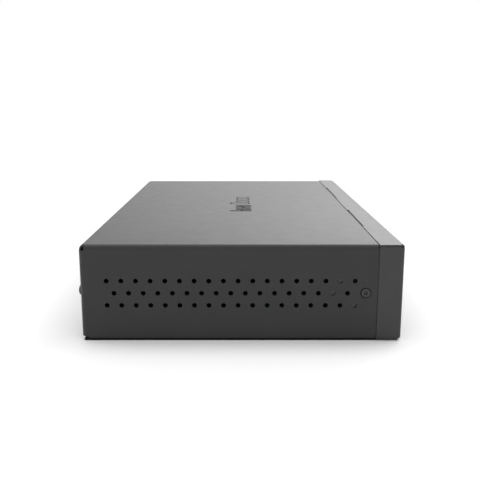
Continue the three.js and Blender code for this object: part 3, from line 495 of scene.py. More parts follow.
foot_rubber = simple("foot_rubber", grey(0.018), 0.85, bump=(4000, 0.015))
black_screw = simple("black_screw", (0.045, 0.045, 0.047), 0.42, 0.7)
zinc_screw = simple("zinc_screw", (0.55, 0.56, 0.58), 0.32, 1.0)
board_green = simple("board_green", (0.015, 0.11, 0.045), 0.4, mottle=0.12, bump=(900, 0.01))
board_tan = simple("board_tan", (0.42, 0.3, 0.12), 0.6, mottle=0.1, bump=(1200, 0.008))
jack_plastic = simple("jack_plastic", (0.014, 0.014, 0.015), 0.5, bump=(3500, 0.01))
tinned_steel = simple("tinned_steel", grey(0.62), 0.28, 1.0, mottle=0.05)
gold_plate = simple("gold_plate", (0.83, 0.6, 0.24), 0.25, 1.0, mottle=0.05)
contact_plate = simple("contact_plate", (0.66, 0.65, 0.62), 0.25, 1.0, mottle=0.05)
inlet_plastic = simple("inlet_plastic", (0.012, 0.012, 0.013), 0.5, bump=(3800, 0.014))
clear_plastic = simple("clear_plastic", (0.9, 0.94, 0.92), 0.08, mottle=0.02, Transmission_Weight=0.9)
led_plastic = simple("led_plastic", (0.8, 0.8, 0.74), 0.45)
switch_plastic = simple("switch_plastic", (0.1, 0.1, 0.11), 0.5)
button_plastic = simple("button_plastic", (0.03, 0.03, 0.032), 0.45)
chip_resin = simple("chip_resin", grey(0.03), 0.6, bump=(5000, 0.01))
sink_aluminium = simple("sink_aluminium", (0.6, 0.61, 0.62), 0.38, 1.0, bump=(1500, 0.01))
insulator_film = simple("insulator_film", (0.75, 0.73, 0.65), 0.35, mottle=0.05)
ferrite = simple("ferrite", (0.03, 0.03, 0.032), 0.7, bump=(3000, 0.02))
winding_tape = simple("winding_tape", (0.7, 0.45, 0.05), 0.3, bump=(700, 0.03))
capacitor_sleeve = simple("capacitor_sleeve", (0.015, 0.03, 0.1), 0.25, bump=(400, 0.01))
can_metal = simple("can_metal", (0.7, 0.7, 0.71), 0.3, 1.0)
choke_wire = simple("choke_wire", (0.55, 0.22, 0.08), 0.28, 0.9)
fuse_glass = simple("fuse_glass", (0.85, 0.86, 0.85), 0.1, mottle=0.03, Transmission_Weight=0.7)
header_plastic = simple("header_plastic", (0.75, 0.73, 0.66), 0.5)
cable_red = simple("cable_red", (0.3, 0.012, 0.012), 0.4)
cable_black = simple("cable_black", grey(0.015), 0.4)
print_ink = Shader("print_ink", grey(0.004), 0.7, specular=0.12)
print_ink = print_ink.mottle(900, 0.1).bumps((3200, 0.006)).material


def dress(obj, name, material, body="chassis", replaces=()):
    """Names a finished piece, gives it its material and sets the body it rides on."""
    obj.name = name
    obj.data.name = name
    obj.data.materials.clear()
    obj.data.materials.append(material)
    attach(obj, body)
    if replaces:
        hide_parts(*replaces)
    return obj


# ---------------------------------------------------------------- case
def tip_places(side):
    """Where the light guide's tips stand along X over one jack block."""
    return [side * JACK_X + (i - PORTS + 0.5) * PORT_PITCH / 2 for i in range(2 * PORTS)]


def vent_centres():
    """The vents' (y, z) places."""
    centres = []
    for row in (-1, 0, 1):
        count = VENT_COUNT - 1 if row == 0 else VENT_COUNT
        for i in range(count):
            centres.append((VENT_CENTRE_Y - (i - (count - 1) / 2) * VENT_PITCH, MIDDLE_Z + row * VENT_RISE))
    return centres


def countersink(axis, face, facing, thickness, centre):
    """The cutter for a countersunk hole in a sheet with its face at a place along the axis."""
    steps = [
        (0, thickness + PAST_FACE), (HOLE, thickness + PAST_FACE), (HOLE, thickness),
        (HEAD_HOLE, 0.0), (HEAD_HOLE, -PAST_FACE), (0, -PAST_FACE),
    ]
    profile = [(radius, face - facing * down) for radius, down in steps]
    return turned(axis, profile if facing > 0 else profile[::-1], centre)


def cover_shell():
    """Top and sides, with the rear lip and the two rear flanges mitred at the corners."""
    fold = SHEET + BEND
    rear = (REAR_Y - fold, REAR_Y + PAST)
    walls = folded_sheet([
        (COVER_X, COVER_BOTTOM), (COVER_X, COVER_TOP), (-COVER_X, COVER_TOP), (-COVER_X, COVER_BOTTOM),
    ], SHEET)
    flange = folded_sheet([
        (COVER_X, REAR_Y - fold - PAST), (COVER_X, REAR_Y), (COVER_X - REAR_FLANGE, REAR_Y),
    ], SHEET)
    lip = folded_sheet([
        (REAR_Y, COVER_TOP - LIP_HEIGHT), (REAR_Y, COVER_TOP), (REAR_Y - fold - PAST, COVER_TOP),
    ], SHEET)
    pieces = [prism("y", walls, COVER_FRONT, REAR_Y - fold)]
    deep = LIP_HEIGHT + SLIT
    gap = SLIT / 2
    above = [
        (COVER_X + PAST - gap, COVER_TOP + PAST + gap), (COVER_X - PAST_CORNER, COVER_TOP + PAST + gap),
        (COVER_X - PAST_CORNER, COVER_TOP - deep), (COVER_X - deep - gap, COVER_TOP - deep),
    ]
    beside = [
        (COVER_X + gap, COVER_TOP - gap), (COVER_X + gap, COVER_TOP - PAST_CORNER),
        (COVER_X - PAST_CORNER + gap, COVER_TOP - PAST_CORNER - gap),
    ]
    for side in (1, -1):
        piece = prism("z", sided(flange, side), REAR_LIFT, COVER_TOP - CORNER_RELIEF)
        pieces.append(cut(piece, [prism("y", sided(above, side), *rear)]))
    lip_x = COVER_X - CORNER_RELIEF
    mitres = [prism("y", sided(beside, side), *rear) for side in (1, -1)]
    pieces.append(cut(prism("x", lip, -lip_x, lip_x), mitres))
    body = union(pieces)
    tools = []
    for side in (1, -1):
        for y, z in vent_centres():
            tools.append(rod("x", VENT_RADIUS, side * COVER_X - 2, side * COVER_X + 2, (0, y, z), 28))
        tools.append(countersink("x", side * COVER_X, side, SHEET, (0, SIDE_SCREW_Y, MIDDLE_Z)))
        tools.append(rod("y", HOLE, REAR_Y - 2, REAR_Y + 1, (side * REAR_SCREW_X, 0, MIDDLE_Z)))
        wall = side * (COVER_X - SHEET / 2)
        nick = [
            (REAR_Y - fold - 1.1, COVER_BOTTOM - 0.1), (REAR_Y - fold + 0.05, REAR_LIFT),
            (REAR_Y, COVER_BOTTOM - 0.1),
        ]
        tools.append(prism("x", nick, wall - 2, wall + 2))
    return soften(cut(body, tools))


def panel_shell():
    """A pan with its openings, and two tabs stepped down to lie under the cover."""
    flange_top = PANEL_BOTTOM + PANEL_SHEET
    section = folded_sheet([
        (SEAM_Y, PANEL_TOP), (FRONT_Y, PANEL_TOP), (FRONT_Y, PANEL_BOTTOM), (SEAM_Y, PANEL_BOTTOM),
    ], PANEL_SHEET, PANEL_BEND)
    wrap = folded_sheet([
        (-SIDE_X, SEAM_Y), (-SIDE_X, FRONT_Y), (SIDE_X, FRONT_Y), (SIDE_X, SEAM_Y),
    ], PANEL_SHEET, PANEL_BEND)
    inset = SIDE_X - PANEL_RELIEF
    relief_y = FRONT_Y + PANEL_RELIEF
    drop = PANEL_TOP - (CEILING - LAYER)
    body = union([
        prism("x", section, -inset, inset),
        prism("z", wrap, flange_top + SLIT, PANEL_TOP - PANEL_SHEET - SLIT),
        block((-SIDE_X, SIDE_X), (relief_y, SEAM_Y), (PANEL_TOP - PANEL_SHEET, PANEL_TOP)),
        block((-SIDE_X, SIDE_X), (relief_y, SEAM_Y), (PANEL_BOTTOM, flange_top)),
    ])
    through = (FRONT_Y - 1, FRONT_Y + 2)
    top = (PANEL_TOP - PANEL_SHEET - 0.05, PANEL_TOP + 0.1)
    deck = BOARD_TOP
    around = 0.3
    reach = SHIELD + around
    tools = []
    half, nick = TAB_WIDTH / 2, NOTCH_WIDTH / 2
    for side in (1, -1):
        gap = [
            (-half - nick, 0.1), (-half - nick, -NOTCH_DEPTH),
            (-half + nick, -NOTCH_DEPTH), (-half + nick, -TAB_SLOT),
        ]
        gap += [(-x, y) for x, y in gap[::-1]]
        tools.append(prism("z", [(side * TAB_PITCH / 2 + x, SEAM_Y + y) for x, y in gap], *top))
        screw = (side * PANEL_SCREW[0], PANEL_SCREW[1], 0)
        tools.append(countersink("z", PANEL_BOTTOM, -1, PANEL_SHEET, screw))
        beyond = sorted((side * inset, side * (SIDE_X + PAST)))
        for low, high in ((PANEL_TOP - 1.5, PANEL_TOP + PAST), (-PAST, PANEL_BOTTOM + 1.3)):
            tools.append(block(beyond, (FRONT_Y - PAST, relief_y - 0.1), (low, high)))
        x = side * JACK_X
        wide = JACK_WIDTH / 2 + reach
        tools.append(block((x - wide, x + wide), through, (deck - around, deck + 2 * JACK_ROW + reach)))
    for x in CAGE_X:
        wide = CAGE_WIDTH / 2 + around
        tools.append(block((x - wide, x + wide), through, (deck - around, deck + CAGE_HEIGHT + around)))
    for x in tip_places(-1) + tip_places(1) + [POWER_LIGHT_X]:
        tools.append(rod("y", TIP_RADIUS + TIP_GAP, *through, (x, 0, TIP_Z), 24))
    tools.append(rod("y", BUTTON_HOLE, *through, (RESET[0], 0, RESET[1]), 32))
    half_x, half_z = KNOB_HALF + KNOB_TRAVEL / 2 + KNOB_GAP, KNOB_HALF_HEIGHT + KNOB_GAP
    tools.append(prism("y", rounded_rectangle(half_x, half_z, 0.4, MODE), *through))
    cut(body, tools)
    tab = folded_sheet([
        (SEAM_Y + TAB_REACH, CEILING - LAYER), (SEAM_Y, CEILING - LAYER),
        (SEAM_Y - TAB_SLOT, PANEL_TOP), (SEAM_Y - 2 * drop - 1, PANEL_TOP),
    ], PANEL_SHEET, 0.3)
    tongue = half - nick
    tabs = []
    for side in (1, -1):
        x = side * TAB_PITCH / 2
        tabs.append(prism("x", tab, x - tongue, x + tongue))
    return soften(union([body] + tabs))


def tray_shell():
    """Floor, low sides and rear wall, with bosses and pockets for the feet, and the two ears beside it."""
    joggle = TONGUE_Z - TRAY_LOW
    floor_front = COVER_FRONT + joggle + 0.3
    edge = TRAY_X - SHEET - TRAY_BEND
    wall_top = CEILING - BEND
    wall_x = COVER_X - SHEET - BEND
    section = folded_sheet([
        (TONGUE_FRONT, TONGUE_Z), (COVER_FRONT, TONGUE_Z), (COVER_FRONT + joggle, TRAY_LOW),
        (WALL_OUTER, TRAY_LOW), (WALL_OUTER, wall_top),
    ], SHEET, TRAY_BEND)
    channel = folded_sheet([
        (-TRAY_X, CHANNEL_WALL), (-TRAY_X, TRAY_LOW), (TRAY_X, TRAY_LOW), (TRAY_X, CHANNEL_WALL),
    ], SHEET, TRAY_BEND)
    pieces = [
        prism("x", section, -edge, edge),
        prism("y", channel, floor_front, WALL_INNER - TRAY_BEND - SLIT),
        block((-wall_x, wall_x), (WALL_INNER, WALL_OUTER), (CORNER_RELIEF, wall_top)),
        # These rims under the cover's sides carry the darkened tray paint, which paints in the contact shadow
        # along the bottom band.
        block((-RIM_X, -edge), (COVER_FRONT, WALL_OUTER), (0.02, TRAY_FLOOR)),
        block((edge, RIM_X), (COVER_FRONT, WALL_OUTER), (0.02, TRAY_FLOOR)),
    ]
    vents = sorted(y for y, _ in vent_centres())
    ear_rear = vents[0] + 1.5 * VENT_PITCH + VENT_RADIUS + 0.4
    ear_top = MIDDLE_Z + VENT_RISE + VENT_RADIUS + 3
    wall = (WALL_INNER - PAST, WALL_OUTER + PAST)
    under = (TRAY_LOW - PAST, TRAY_FLOOR + PAST)
    tools, later = [], []
    for side in (1, -1):
        xs = sorted((side * TRAY_X, side * (TRAY_X - SHEET)))
        ear = block(xs, (COVER_FRONT + 1, ear_rear), (TRAY_FLOOR + TRAY_BEND, ear_top))
        top = Vector((vents[0], MIDDLE_Z + VENT_RISE))
        low = Vector((vents[0] + VENT_PITCH, MIDDLE_Z - VENT_RISE))
        run = (top - low).normalized() * EAR_SLOT
        across = Vector((-run.y, run.x))
        slot = []
        for end, way in ((low, -1), (top, 1)):
            for step in range(9):
                angle = math.radians(-90 + 180 * step / 8)
                slot.append(tuple(end + (run * math.cos(angle) - across * math.sin(angle)) * way))
        span = (xs[0] - PAST, xs[1] + PAST)
        cut(ear, [prism("x", slot, *span), rod("x", HOLE, *span, (0, SIDE_SCREW_Y, MIDDLE_Z))])
        end = "left" if side < 0 else "right"
        dress(soften(ear, TRAY_EDGE), f"tray_ear_{end}", ear_paint)
        tools.append(rod("y", HOLE, *wall, (side * REAR_SCREW_X, 0, MIDDLE_Z)))
        screw = (side * PANEL_SCREW[0], PANEL_SCREW[1], 0)
        tools.append(rod("z", HOLE, TONGUE_Z - 1, TONGUE_Z + 2, screw))
        x = side * KEYHOLE_X
        half, length = KEYHOLE_SLOT
        tools.append(rod("z", KEYHOLE_RADIUS, *under, (x, KEYHOLE_Y, 0), 40))
        later.append(block((x - half, x + half), (KEYHOLE_Y - length, KEYHOLE_Y), under))
        for y in (1, -1):
            foot = (side * FOOT_X, y * FOOT_Y, 0)
            pieces.append(turned("z", [
                (0, TRAY_LOW), (7.9, TRAY_LOW), (7.6, TRAY_LOW + 2.3),
                (7.3, TRAY_LOW + 2.5), (0, TRAY_LOW + 2.5),
            ], foot))
            tools.append(rod("z", FOOT_POCKET, -1, TRAY_LOW + POCKET_DEPTH, foot, 48))
    for node in BOSSES:
        low, high = cad(node)
        x, y = (low.x + high.x) / 2, (low.y + high.y) / 2
        cone = [(0, TRAY_LOW), (5, TRAY_LOW), (3.6, BOARD_LOW), (0, BOARD_LOW)]
        hollow = [
            (0, TRAY_LOW - 1), (4, TRAY_LOW - 1), (4, TRAY_LOW), (2.6, BOARD_LOW - 1), (0, BOARD_LOW - 1),
        ]
        pieces.append(turned("z", cone, (x, y, 0), 40))
        tools.append(turned("z", hollow, (x, y, 0), 40))
        later.append(rod("z", HOLE, BOARD_LOW - 3, BOARD_LOW + 1, (x, y, 0)))
    half_x, half_z = INLET_OPENING
    tools.append(block((INLET_X - half_x, INLET_X + half_x), wall, (MIDDLE_Z - half_z, MIDDLE_Z + half_z)))
    tools.append(prism("y", rounded_rectangle(*LOCK_SLOT, (LOCK_X, REAR_LOW)), *wall))
    tools.append(rod("y", HOLE, *wall, (GROUND_X, 0, REAR_LOW)))
    return soften(cut(cut(union(pieces), tools), later), TRAY_EDGE)


dress(cover_shell(), "cover_shell", cover_paint, replaces=["top_cover"])
dress(panel_shell(), "panel_shell", panel_paint, replaces=["front_panel"])
dress(tray_shell(), "tray_shell", tray_paint, replaces=["base_tray"])


# The printed mark's strokes, each a place along X and its two ends along Y.
BARS = ((-24.6, -6.2, 6.6), (-19.9, -6.0, 3.2), (-15.4, -6.0, 3.2), (-10.9, -6.0, 3.2), (-6.4, -6.2, 3.2))
LINKS = ((-22.3, -1.0, 0.2), (-13.1, -2.2, -1.0), (-8.7, -1.0, 0.2))
FRAMES = ((2.6, -5.2, 6.6), (10.4, -5.2, 3.0), (18.2, -5.2, 3.0), (26.0, -5.2, 3.0))
BAR_HALF = 1.55
LINK_HALF = 0.85
FRAME_HALF = 2.9
FRAME_LINE = 1.0


def top_mark():
    """A plain printed mark: a band of bold bars, then open frames drawn with a thin line."""
    low, high = COVER_TOP - 0.01, COVER_TOP + 0.012
    pieces = []
    for x, start, end in BARS:
        outline = rounded_rectangle(BAR_HALF, (end - start) / 2, 1.2, (0, (start + end) / 2))
        pieces.append(prism("z", [(x + a, b) for a, b in outline], low, high))
    for x, start, end in LINKS:
        pieces.append(block((x - LINK_HALF, x + LINK_HALF), (start, end), (low, high)))
    for x, start, end in FRAMES:
        half, mid = (end - start) / 2, (start + end) / 2
        body = prism("z", rounded_rectangle(FRAME_HALF, half, 1.6, (x, mid)), low, high)
        inner = rounded_rectangle(FRAME_HALF - FRAME_LINE, half - FRAME_LINE, 0.6, (x, mid))
        pieces.append(cut(body, [prism("z", inner, low - 1, high + 1)]))
    return joined(pieces)


dress(top_mark(), "top_mark", print_ink)


# ---------------------------------------------------------------- fasteners and feet
def threaded(length, stop):
    """Half a screw's profile from its end up to the underside of the head."""
    root, crest, pitch = 1.12, 1.45, 0.6
    profile = [(0, -length), (0.9, -length)]
    along = -length + 0.4
    while along < stop - 0.8:
        profile += [(root, along), (crest, along + pitch / 2)]
        along += pitch
    return profile + [(crest, stop - 0.1)]


def recess(top, reach, arm, depth):
    """The cutter for a cross recess, narrower at its foot."""
    bm = bmesh.new()
    rings = []
    cross = [(arm, arm), (arm, reach), (-arm, reach), (-arm, arm), (-reach, arm), (-reach, -arm),
             (-arm, -arm), (-arm, -reach), (arm, -reach), (arm, -arm), (reach, -arm), (reach, arm)]
    for along, scale in ((top - depth, 0.55), (top + 0.2, 1.0)):
        rings.append([bm.verts.new((a * scale, b * scale, along)) for a, b in cross])
    bm.faces.new(rings[0])
    bm.faces.new(rings[1])
    for i in range(len(cross)):
        j = (i + 1) % len(cross)
        bm.faces.new((rings[0][i], rings[0][j], rings[1][j], rings[1][i]))
    return from_bmesh("recess", bm)


def flat_screw(length):
    """An M3 countersunk screw with its face at 0."""
    profile = threaded(length, -0.7) + [(1.97, -0.14), (2.02, -0.06), (1.92, 0), (0, 0)]
    body = cut(turned("z", profile, (0, 0, 0), 64), [recess(0, 1.15, 0.3, 0.62)])
    return soften(body, 0.04)


def pan_screw(length, radius=2.85, tall=2.0):
    """An M3 pan-head screw with the underside of its head at 0."""
    dome = [(0.965, 0), (1, 0.06), (1, 0.27), (0.95, 0.53), (0.82, 0.73), (0.61, 0.89), (0.35, 0.975), (0, 1)]
    dome = [(a * radius, b * tall) for a, b in dome]
    cross = recess(tall, radius * 0.58, 0.42, tall * 0.65)
    body = cut(turned("z", threaded(length, 0) + dome, (0, 0, 0), 64), [cross])
    return soften(body, 0.05)


def fasten(node, shape, head, facing, material):
    """Puts a screw in a CAD screw's place, the underside of its head that far in from the outer face."""
    low, high = cad(node)
    facing = Vector(facing)
    where = (low + high) / 2
    for axis in range(3):
        if facing[axis]:
            where[axis] = high[axis] - head if facing[axis] > 0 else low[axis] + head
    spin = Matrix.Rotation(random.uniform(0, math.pi / 2), 4, "Z")
    shape.data.transform(spin)
    dress(placed(shape, where, facing), f"{node}_shape", material, replaces=[node])


for side, sign in (("left", -1), ("right", 1)):
    fasten(f"side_screw_{side}", flat_screw(5), 0, (sign, 0, 0), black_screw)
    fasten(f"panel_screw_{side}", flat_screw(4.5), 0, (0, 0, -1), black_screw)
    fasten(f"rear_screw_{side}", pan_screw(6, 2.4, 1.5), 1.5, (0, 1, 0), black_screw)
fasten("ground_screw", pan_screw(7), 2, (0, 1, 0), zinc_screw)
for node in BOSSES:
    fasten(node, pan_screw(6), 2, (0, 0, 1), zinc_screw)

for corner in CORNERS:
    node = f"foot_{corner}"
    centre = middle(node)
    top = cad(node)[1].z
    profile = [(0, 0.3), (3.6, 0.3), (4.0, 0.0), (5.5, 0.0), (5.86, 0.15), (6.0, 0.5), (6.0, top), (0, top)]
    foot = turned("z", profile, (centre.x, centre.y, 0), 64)
    dress(soften(foot, TRAY_EDGE), f"{node}_shape", foot_rubber, replaces=[node])


# ---------------------------------------------------------------- pieces taken from their CAD shape
def refined(node, material, body="chassis", width=0.12, tools=()):
    """A CAD shape with its flat faces made whole and its edges rounded."""
    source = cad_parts[node]
    mesh = source.data.copy()
    mesh.transform(source.matrix_world)
    bm = bmesh.new()
    bm.from_mesh(mesh)
    bmesh.ops.remove_doubles(bm, verts=bm.verts, dist=1e-7)
    bmesh.ops.dissolve_limit(bm, angle_limit=0.01, verts=bm.verts, edges=bm.edges)
    bm.to_mesh(mesh)
    bm.free()
    shape = new_object(node, mesh)
    if tools:
        cut(shape, list(tools))
    return dress(soften(shape, width), f"{node}_shape", material, body, [node])


# ---------------------------------------------------------------- front pieces
def jack_housing(side):
    """A block of jacks in two rows, their latches away from the line between the rows."""
    x = side * JACK_X
    middle_z = BOARD_TOP + JACK_ROW
    body = block((x - JACK_WIDTH / 2, x + JACK_WIDTH / 2), (FACE_Y, FACE_Y + JACK_DEPTH),
                 (BOARD_TOP, BOARD_TOP + 2 * JACK_ROW))
    tools = []
    for column in range(PORTS):
        at = x + (column - (PORTS - 1) / 2) * PORT_PITCH
        for row in (-1, 1):
            near, far = PLUG_TO_MIDDLE, PLUG_TO_MIDDLE + PLUG[1]
            half, latch, step = PLUG[0] / 2, LATCH[0] / 2, 1.3
            shoulder = far + LATCH[1] - 0.8
            opening = [
                (half, near), (half, far), (latch, far), (latch, shoulder), (latch - step, shoulder),
                (latch - step, far + LATCH[1]),
            ]
            opening += [(-a, b) for a, b in opening[::-1]]
            outline = [(at + a, middle_z + row * b) for a, b in opening]
            tools.append(prism("y", outline, FACE_Y - 1, FACE_Y + PLUG[2]))
    return soften(cut(body, tools), 0.15)


def jack_contacts(side):
    """Eight sprung wires in each jack, rising from near the face towards its back."""
    x = side * JACK_X
    middle_z = BOARD_TOP + JACK_ROW
    wires = []
    for column in range(PORTS):
        for row in (-1, 1):
            for i in range(8):
                at = x + (column - (PORTS - 1) / 2) * PORT_PITCH + (i - 3.5) * CONTACT_PITCH
                line = [(2.2, 0.05), (3.0, 0.55), (9.0, 2.5), (PLUG[2] + 0.5, 2.9)]
                shape = [(FACE_Y + y, middle_z + row * (PLUG_TO_MIDDLE + z)) for y, z in line]
                shape += [(y, z + row * 0.3) for y, z in shape[::-1]]
                wires.append(prism("x", shape, at - 0.2, at + 0.2))
    return joined(wires)


def light_guide(low_x, high_x, tips):
    """A clear bar on a leg over the board's lights, with a round tip for each light."""
    low, high = cad("light_guide_left")
    foot = low.z
    leg = (high.y - 2.6, high.y)
    bar_low, bar_high = TIP_Z - 1.3, TIP_Z + 1.3
    root = FRONT_Y + 1.5
    outline = [
        (root, bar_low), (leg[0], bar_low), (leg[0], foot), (leg[1], foot),
        (leg[1], bar_high - 1.6), (leg[1] - 1.6, bar_high), (root, bar_high),
    ]
    pieces = [prism("x", outline, low_x, high_x)]
    for x in tips:
        profile = [(0, FACE_Y), (0.7, FACE_Y + 0.06), (1.05, FACE_Y + 0.28), (TIP_RADIUS, FACE_Y + 0.65),
                   (TIP_RADIUS, root + 1), (0, root + 1)]
        pieces.append(turned("y", profile, (x, 0, TIP_Z), 24))
    return soften(union(pieces), 0.1)


for side, sign in (("left", -1), ("right", 1)):
    dress(jack_housing(sign), f"jack_housing_{side}_shape", jack_plastic,
          replaces=[f"jack_housing_{side}"])
    dress(jack_contacts(sign), f"jack_contacts_{side}", gold_plate)
    refined(f"jack_shield_{side}", tinned_steel)
    low, high = cad(f"light_guide_{side}")
    dress(light_guide(low.x, high.x, tip_places(sign)), f"light_guide_{side}_shape", clear_plastic,
          replaces=[f"light_guide_{side}"])
    refined(f"led_bar_{side}", led_plastic)

low, high = cad("led_power")
dress(light_guide(low.x, high.x, [POWER_LIGHT_X]), "light_guide_power_shape", clear_plastic,
      replaces=["light_guide_power"])
refined("led_power", led_plastic)
for cage in (1, 2):
    refined(f"sfp_cage_{cage}", tinned_steel, width=0.08)
    refined(f"sfp_connector_{cage}", jack_plastic)
refined("reset_switch", switch_plastic, width=0.25)
refined("mode_switch", switch_plastic, width=0.15)

low, high = cad("reset_button")
collar = FRONT_Y + 1.0
button = turned("y", [
    (0, low.y + 0.25), (0.7, low.y + 0.12), (1.2, low.y), (1.5, low.y + 0.08), (1.6, low.y + 0.35),
    (1.6, collar), (2.6, collar), (2.6, collar + 1), (1.6, collar + 1), (1.6, high.y), (0, high.y),
], (RESET[0], 0, RESET[1]), 64)
dress(soften(button, 0.08), "reset_button_shape", button_plastic, body="reset_button",
      replaces=["reset_button"])

low, high = cad("mode_knob")
centre = middle("mode_knob")
ridges = []
for i in (-1, 0, 1):
    x = centre.x + i * 0.7
    ridges.append(block((x - 0.15, x + 0.15), (low.y - 1, low.y + 0.3), (low.z - 1, high.z + 1)))
refined("mode_knob", button_plastic, "mode_knob", 0.06, ridges)


# ---------------------------------------------------------------- boards and power supply
refined("main_board", board_green, width=0.08)
refined("power_board", board_tan, width=0.08)
refined("insulator_sheet", insulator_film, width=0.06)
refined("switch_chip", chip_resin, width=0.3)
refined("chip_heat_sink", sink_aluminium, width=0.15)
refined("power_heat_sink", sink_aluminium, width=0.15)
refined("transformer_core", ferrite, width=0.4)
refined("transformer_winding", winding_tape, width=0.4)
refined("dc_header_main", header_plastic, width=0.3)
refined("dc_header_power", header_plastic, width=0.3)


def can(node):
    """A capacitor: a sleeve with a rolled groove, and a scored metal lid."""
    low, high = cad(node)
    centre = (low + high) / 2
    radius = (high.x - low.x) / 2
    base, top = low.z, high.z
    profile = [
        (0, base + 0.2), (radius - 1.4, base + 0.2), (radius - 1.0, base), (radius - 0.3, base + 0.05),
        (radius, base + 0.4), (radius, base + 1.6), (radius - 0.35, base + 2.0), (radius - 0.35, base + 2.4),
        (radius, base + 2.8), (radius, top - 0.7), (radius - 0.2, top - 0.2), (radius - 0.7, top),
        (radius - 1.3, top - 0.05), (radius - 1.3, top - 0.3), (0, top - 0.3),
    ]
    sleeve = turned("z", profile, (centre.x, centre.y, 0), 72)
    dress(soften(sleeve, 0.08), f"{node}_sleeve", capacitor_sleeve, replaces=[node])
    lid = rod("z", radius - 1.32, top - 0.35, top - 0.12, (centre.x, centre.y, 0), 72)
    score = []
    for angle in (0, 60, 120):
        arm = block((-radius * 0.55, radius * 0.55), (-0.12, 0.12), (top - 0.25, top + 0.2))
        arm.data.transform(Matrix.Rotation(math.radians(angle), 4, "Z"))
        arm.data.transform(Matrix.Translation(Vector((centre.x, centre.y, 0)) * MM))
        score.append(arm)
    for arm in score:
        cut(lid, [arm])
    dress(soften(lid, 0.03), f"{node}_lid", can_metal)


can("bulk_capacitor")
can("output_capacitor")


def wound_ring(node, turns=34):
    """A ring whose surface swells at each turn of its wire."""
    low, high = cad(node)
    centre = (low + high) / 2
    thick = (high.x - low.x) / 2
    ring = (high.z - low.z) / 2 - thick
    bm = bmesh.new()
    around, across = turns * 6, 20
    loops = []
    for i in range(around):
        angle = 2 * math.pi * i / around
        tube = thick - 0.3 * (1 - abs(math.sin(angle * turns / 2)))
        loop = []
        for k in range(across):
            spin = 2 * math.pi * k / across
            reach = ring + tube * math.cos(spin)
            loop.append(bm.verts.new(centre + Vector((
                tube * math.sin(spin), reach * math.cos(angle), reach * math.sin(angle),
            ))))
        loops.append(loop)
    for i in range(around):
        ahead = loops[(i + 1) % around]
        for k in range(across):
            n = (k + 1) % across
            bm.faces.new((loops[i][k], loops[i][n], ahead[n], ahead[k]))
    shape = shaded_smooth(from_bmesh(node, bm))
    return dress(shape, f"{node}_shape", choke_wire, replaces=[node])


wound_ring("line_choke")

low, high = cad("fuse")
centre = middle("fuse")
for name, material, spans in (
    ("fuse_tube", fuse_glass, [(low.x + 1, high.x - 1, 2.3)]),
    ("fuse_caps", tinned_steel, [(low.x, low.x + 5.5, 2.6), (high.x - 5.5, high.x, 2.6)]),
):
    tubes = []
    for start, end, radius in spans:
        tube = turned("x", [(0, start), (radius - 0.4, start), (radius, start + 0.4), (radius, end - 0.4),
                            (radius - 0.4, end), (0, end)], (0, centre.y, centre.z), 40)
        tubes.append(tube)
    shape = soften(joined(tubes), 0.06)
    replaced = ["fuse"] if name == "fuse_tube" else []
    dress(shape, name, material, replaces=replaced)


def rounded_path(points, radius, steps=8):
    """A path with a quarter circle at each right-angled corner."""
    path = [Vector(points[0])]
    for before, corner, after in zip(points, points[1:], points[2:]):
        before, corner, after = Vector(before), Vector(corner), Vector(after)
        into, out = (corner - before).normalized(), (after - corner).normalized()
        centre = corner - into * radius + out * radius
        for step in range(steps + 1):
            angle = math.pi / 2 * step / steps
            path.append(centre - out * radius * math.cos(angle) + into * radius * math.sin(angle))
    return path + [Vector(points[-1])]


low, high = cad("dc_cable")
for i, material in enumerate((cable_red, cable_black, cable_black, cable_red)):
    x = (low.x + high.x) / 2 + (i - 1.5) * 1.95
    ends = (low.y + 1.0, high.y - 1.0)
    path = rounded_path([(x, ends[1], low.z), (x, ends[1], high.z - 1.0), (x, ends[0], high.z - 1.0),
                         (x, ends[0], low.z)], 2.6)
    wire = swept(path, 0.95, 16)
    wire.data.polygons.foreach_set("use_smooth", [len(p.vertices) == 4 for p in wire.data.polygons])
    replaced = ["dc_cable"] if i == 0 else []
    dress(wire, f"dc_cable_wire_{i + 1}", material, replaces=replaced)


# ---------------------------------------------------------------- inlet
def power_inlet():
    """A three-pin mains inlet with the two upper corners of its socket cut off."""
    low, high = cad("power_inlet")
    face, rear = high.y, low.y
    centre = (INLET_X, MIDDLE_Z)
    rim = prism("y", rounded_rectangle(15.7, 12.0, 2.4, centre, 8), face - 2, face)
    body = prism("y", rounded_rectangle(13.5, 9.8, 1.2, centre), rear, face - 1)
    socket = []
    for x, z in ((12.1, -8.4), (12.1, 3.4), (7.1, 8.4)):
        socket.append((INLET_X + x, MIDDLE_Z + z))
    socket += [(2 * INLET_X - x, z) for x, z in socket[::-1]]
    tools = [prism("y", socket, rear + 2, face + 1)]
    body = cut(union([body, rim]), tools)
    slots = []
    for pin in ("line", "earth", "neutral"):
        at = middle(f"inlet_pin_{pin}").x
        up = cad(f"inlet_pin_{pin}")[1].z - 2
        slots.append(block((at - 1.05, at + 1.05), (rear - 1, rear + 3), (up - 2.05, up + 2.05)))
    return soften(cut(body, slots), 0.18, 3)


dress(power_inlet(), "power_inlet_shape", inlet_plastic, replaces=["power_inlet"])
for pin in ("line", "earth", "neutral"):
    refined(f"inlet_pin_{pin}", contact_plate, width=0.35)


# ---------------------------------------------------------------- stage
# Brightness of the surroundings on the camera's side, and what is added or taken away elsewhere.
NEAR_SIDE = 0.97
NEAR_LOW = 0.3
REAR_DIM = 0.5
FRONT_DIM = 0.7
GLOW = 5.9
OVERHEAD = 1.75
PAPER = 1.0
FLOOR_HALF = 20

# The camera stands off the left side, in millimetres, and looks down by an angle in degrees.
CAMERA_DISTANCE = 283.1
CAMERA_Y = 0.62
CAMERA_HEIGHT = 106.82
CAMERA_TILT = 12.09


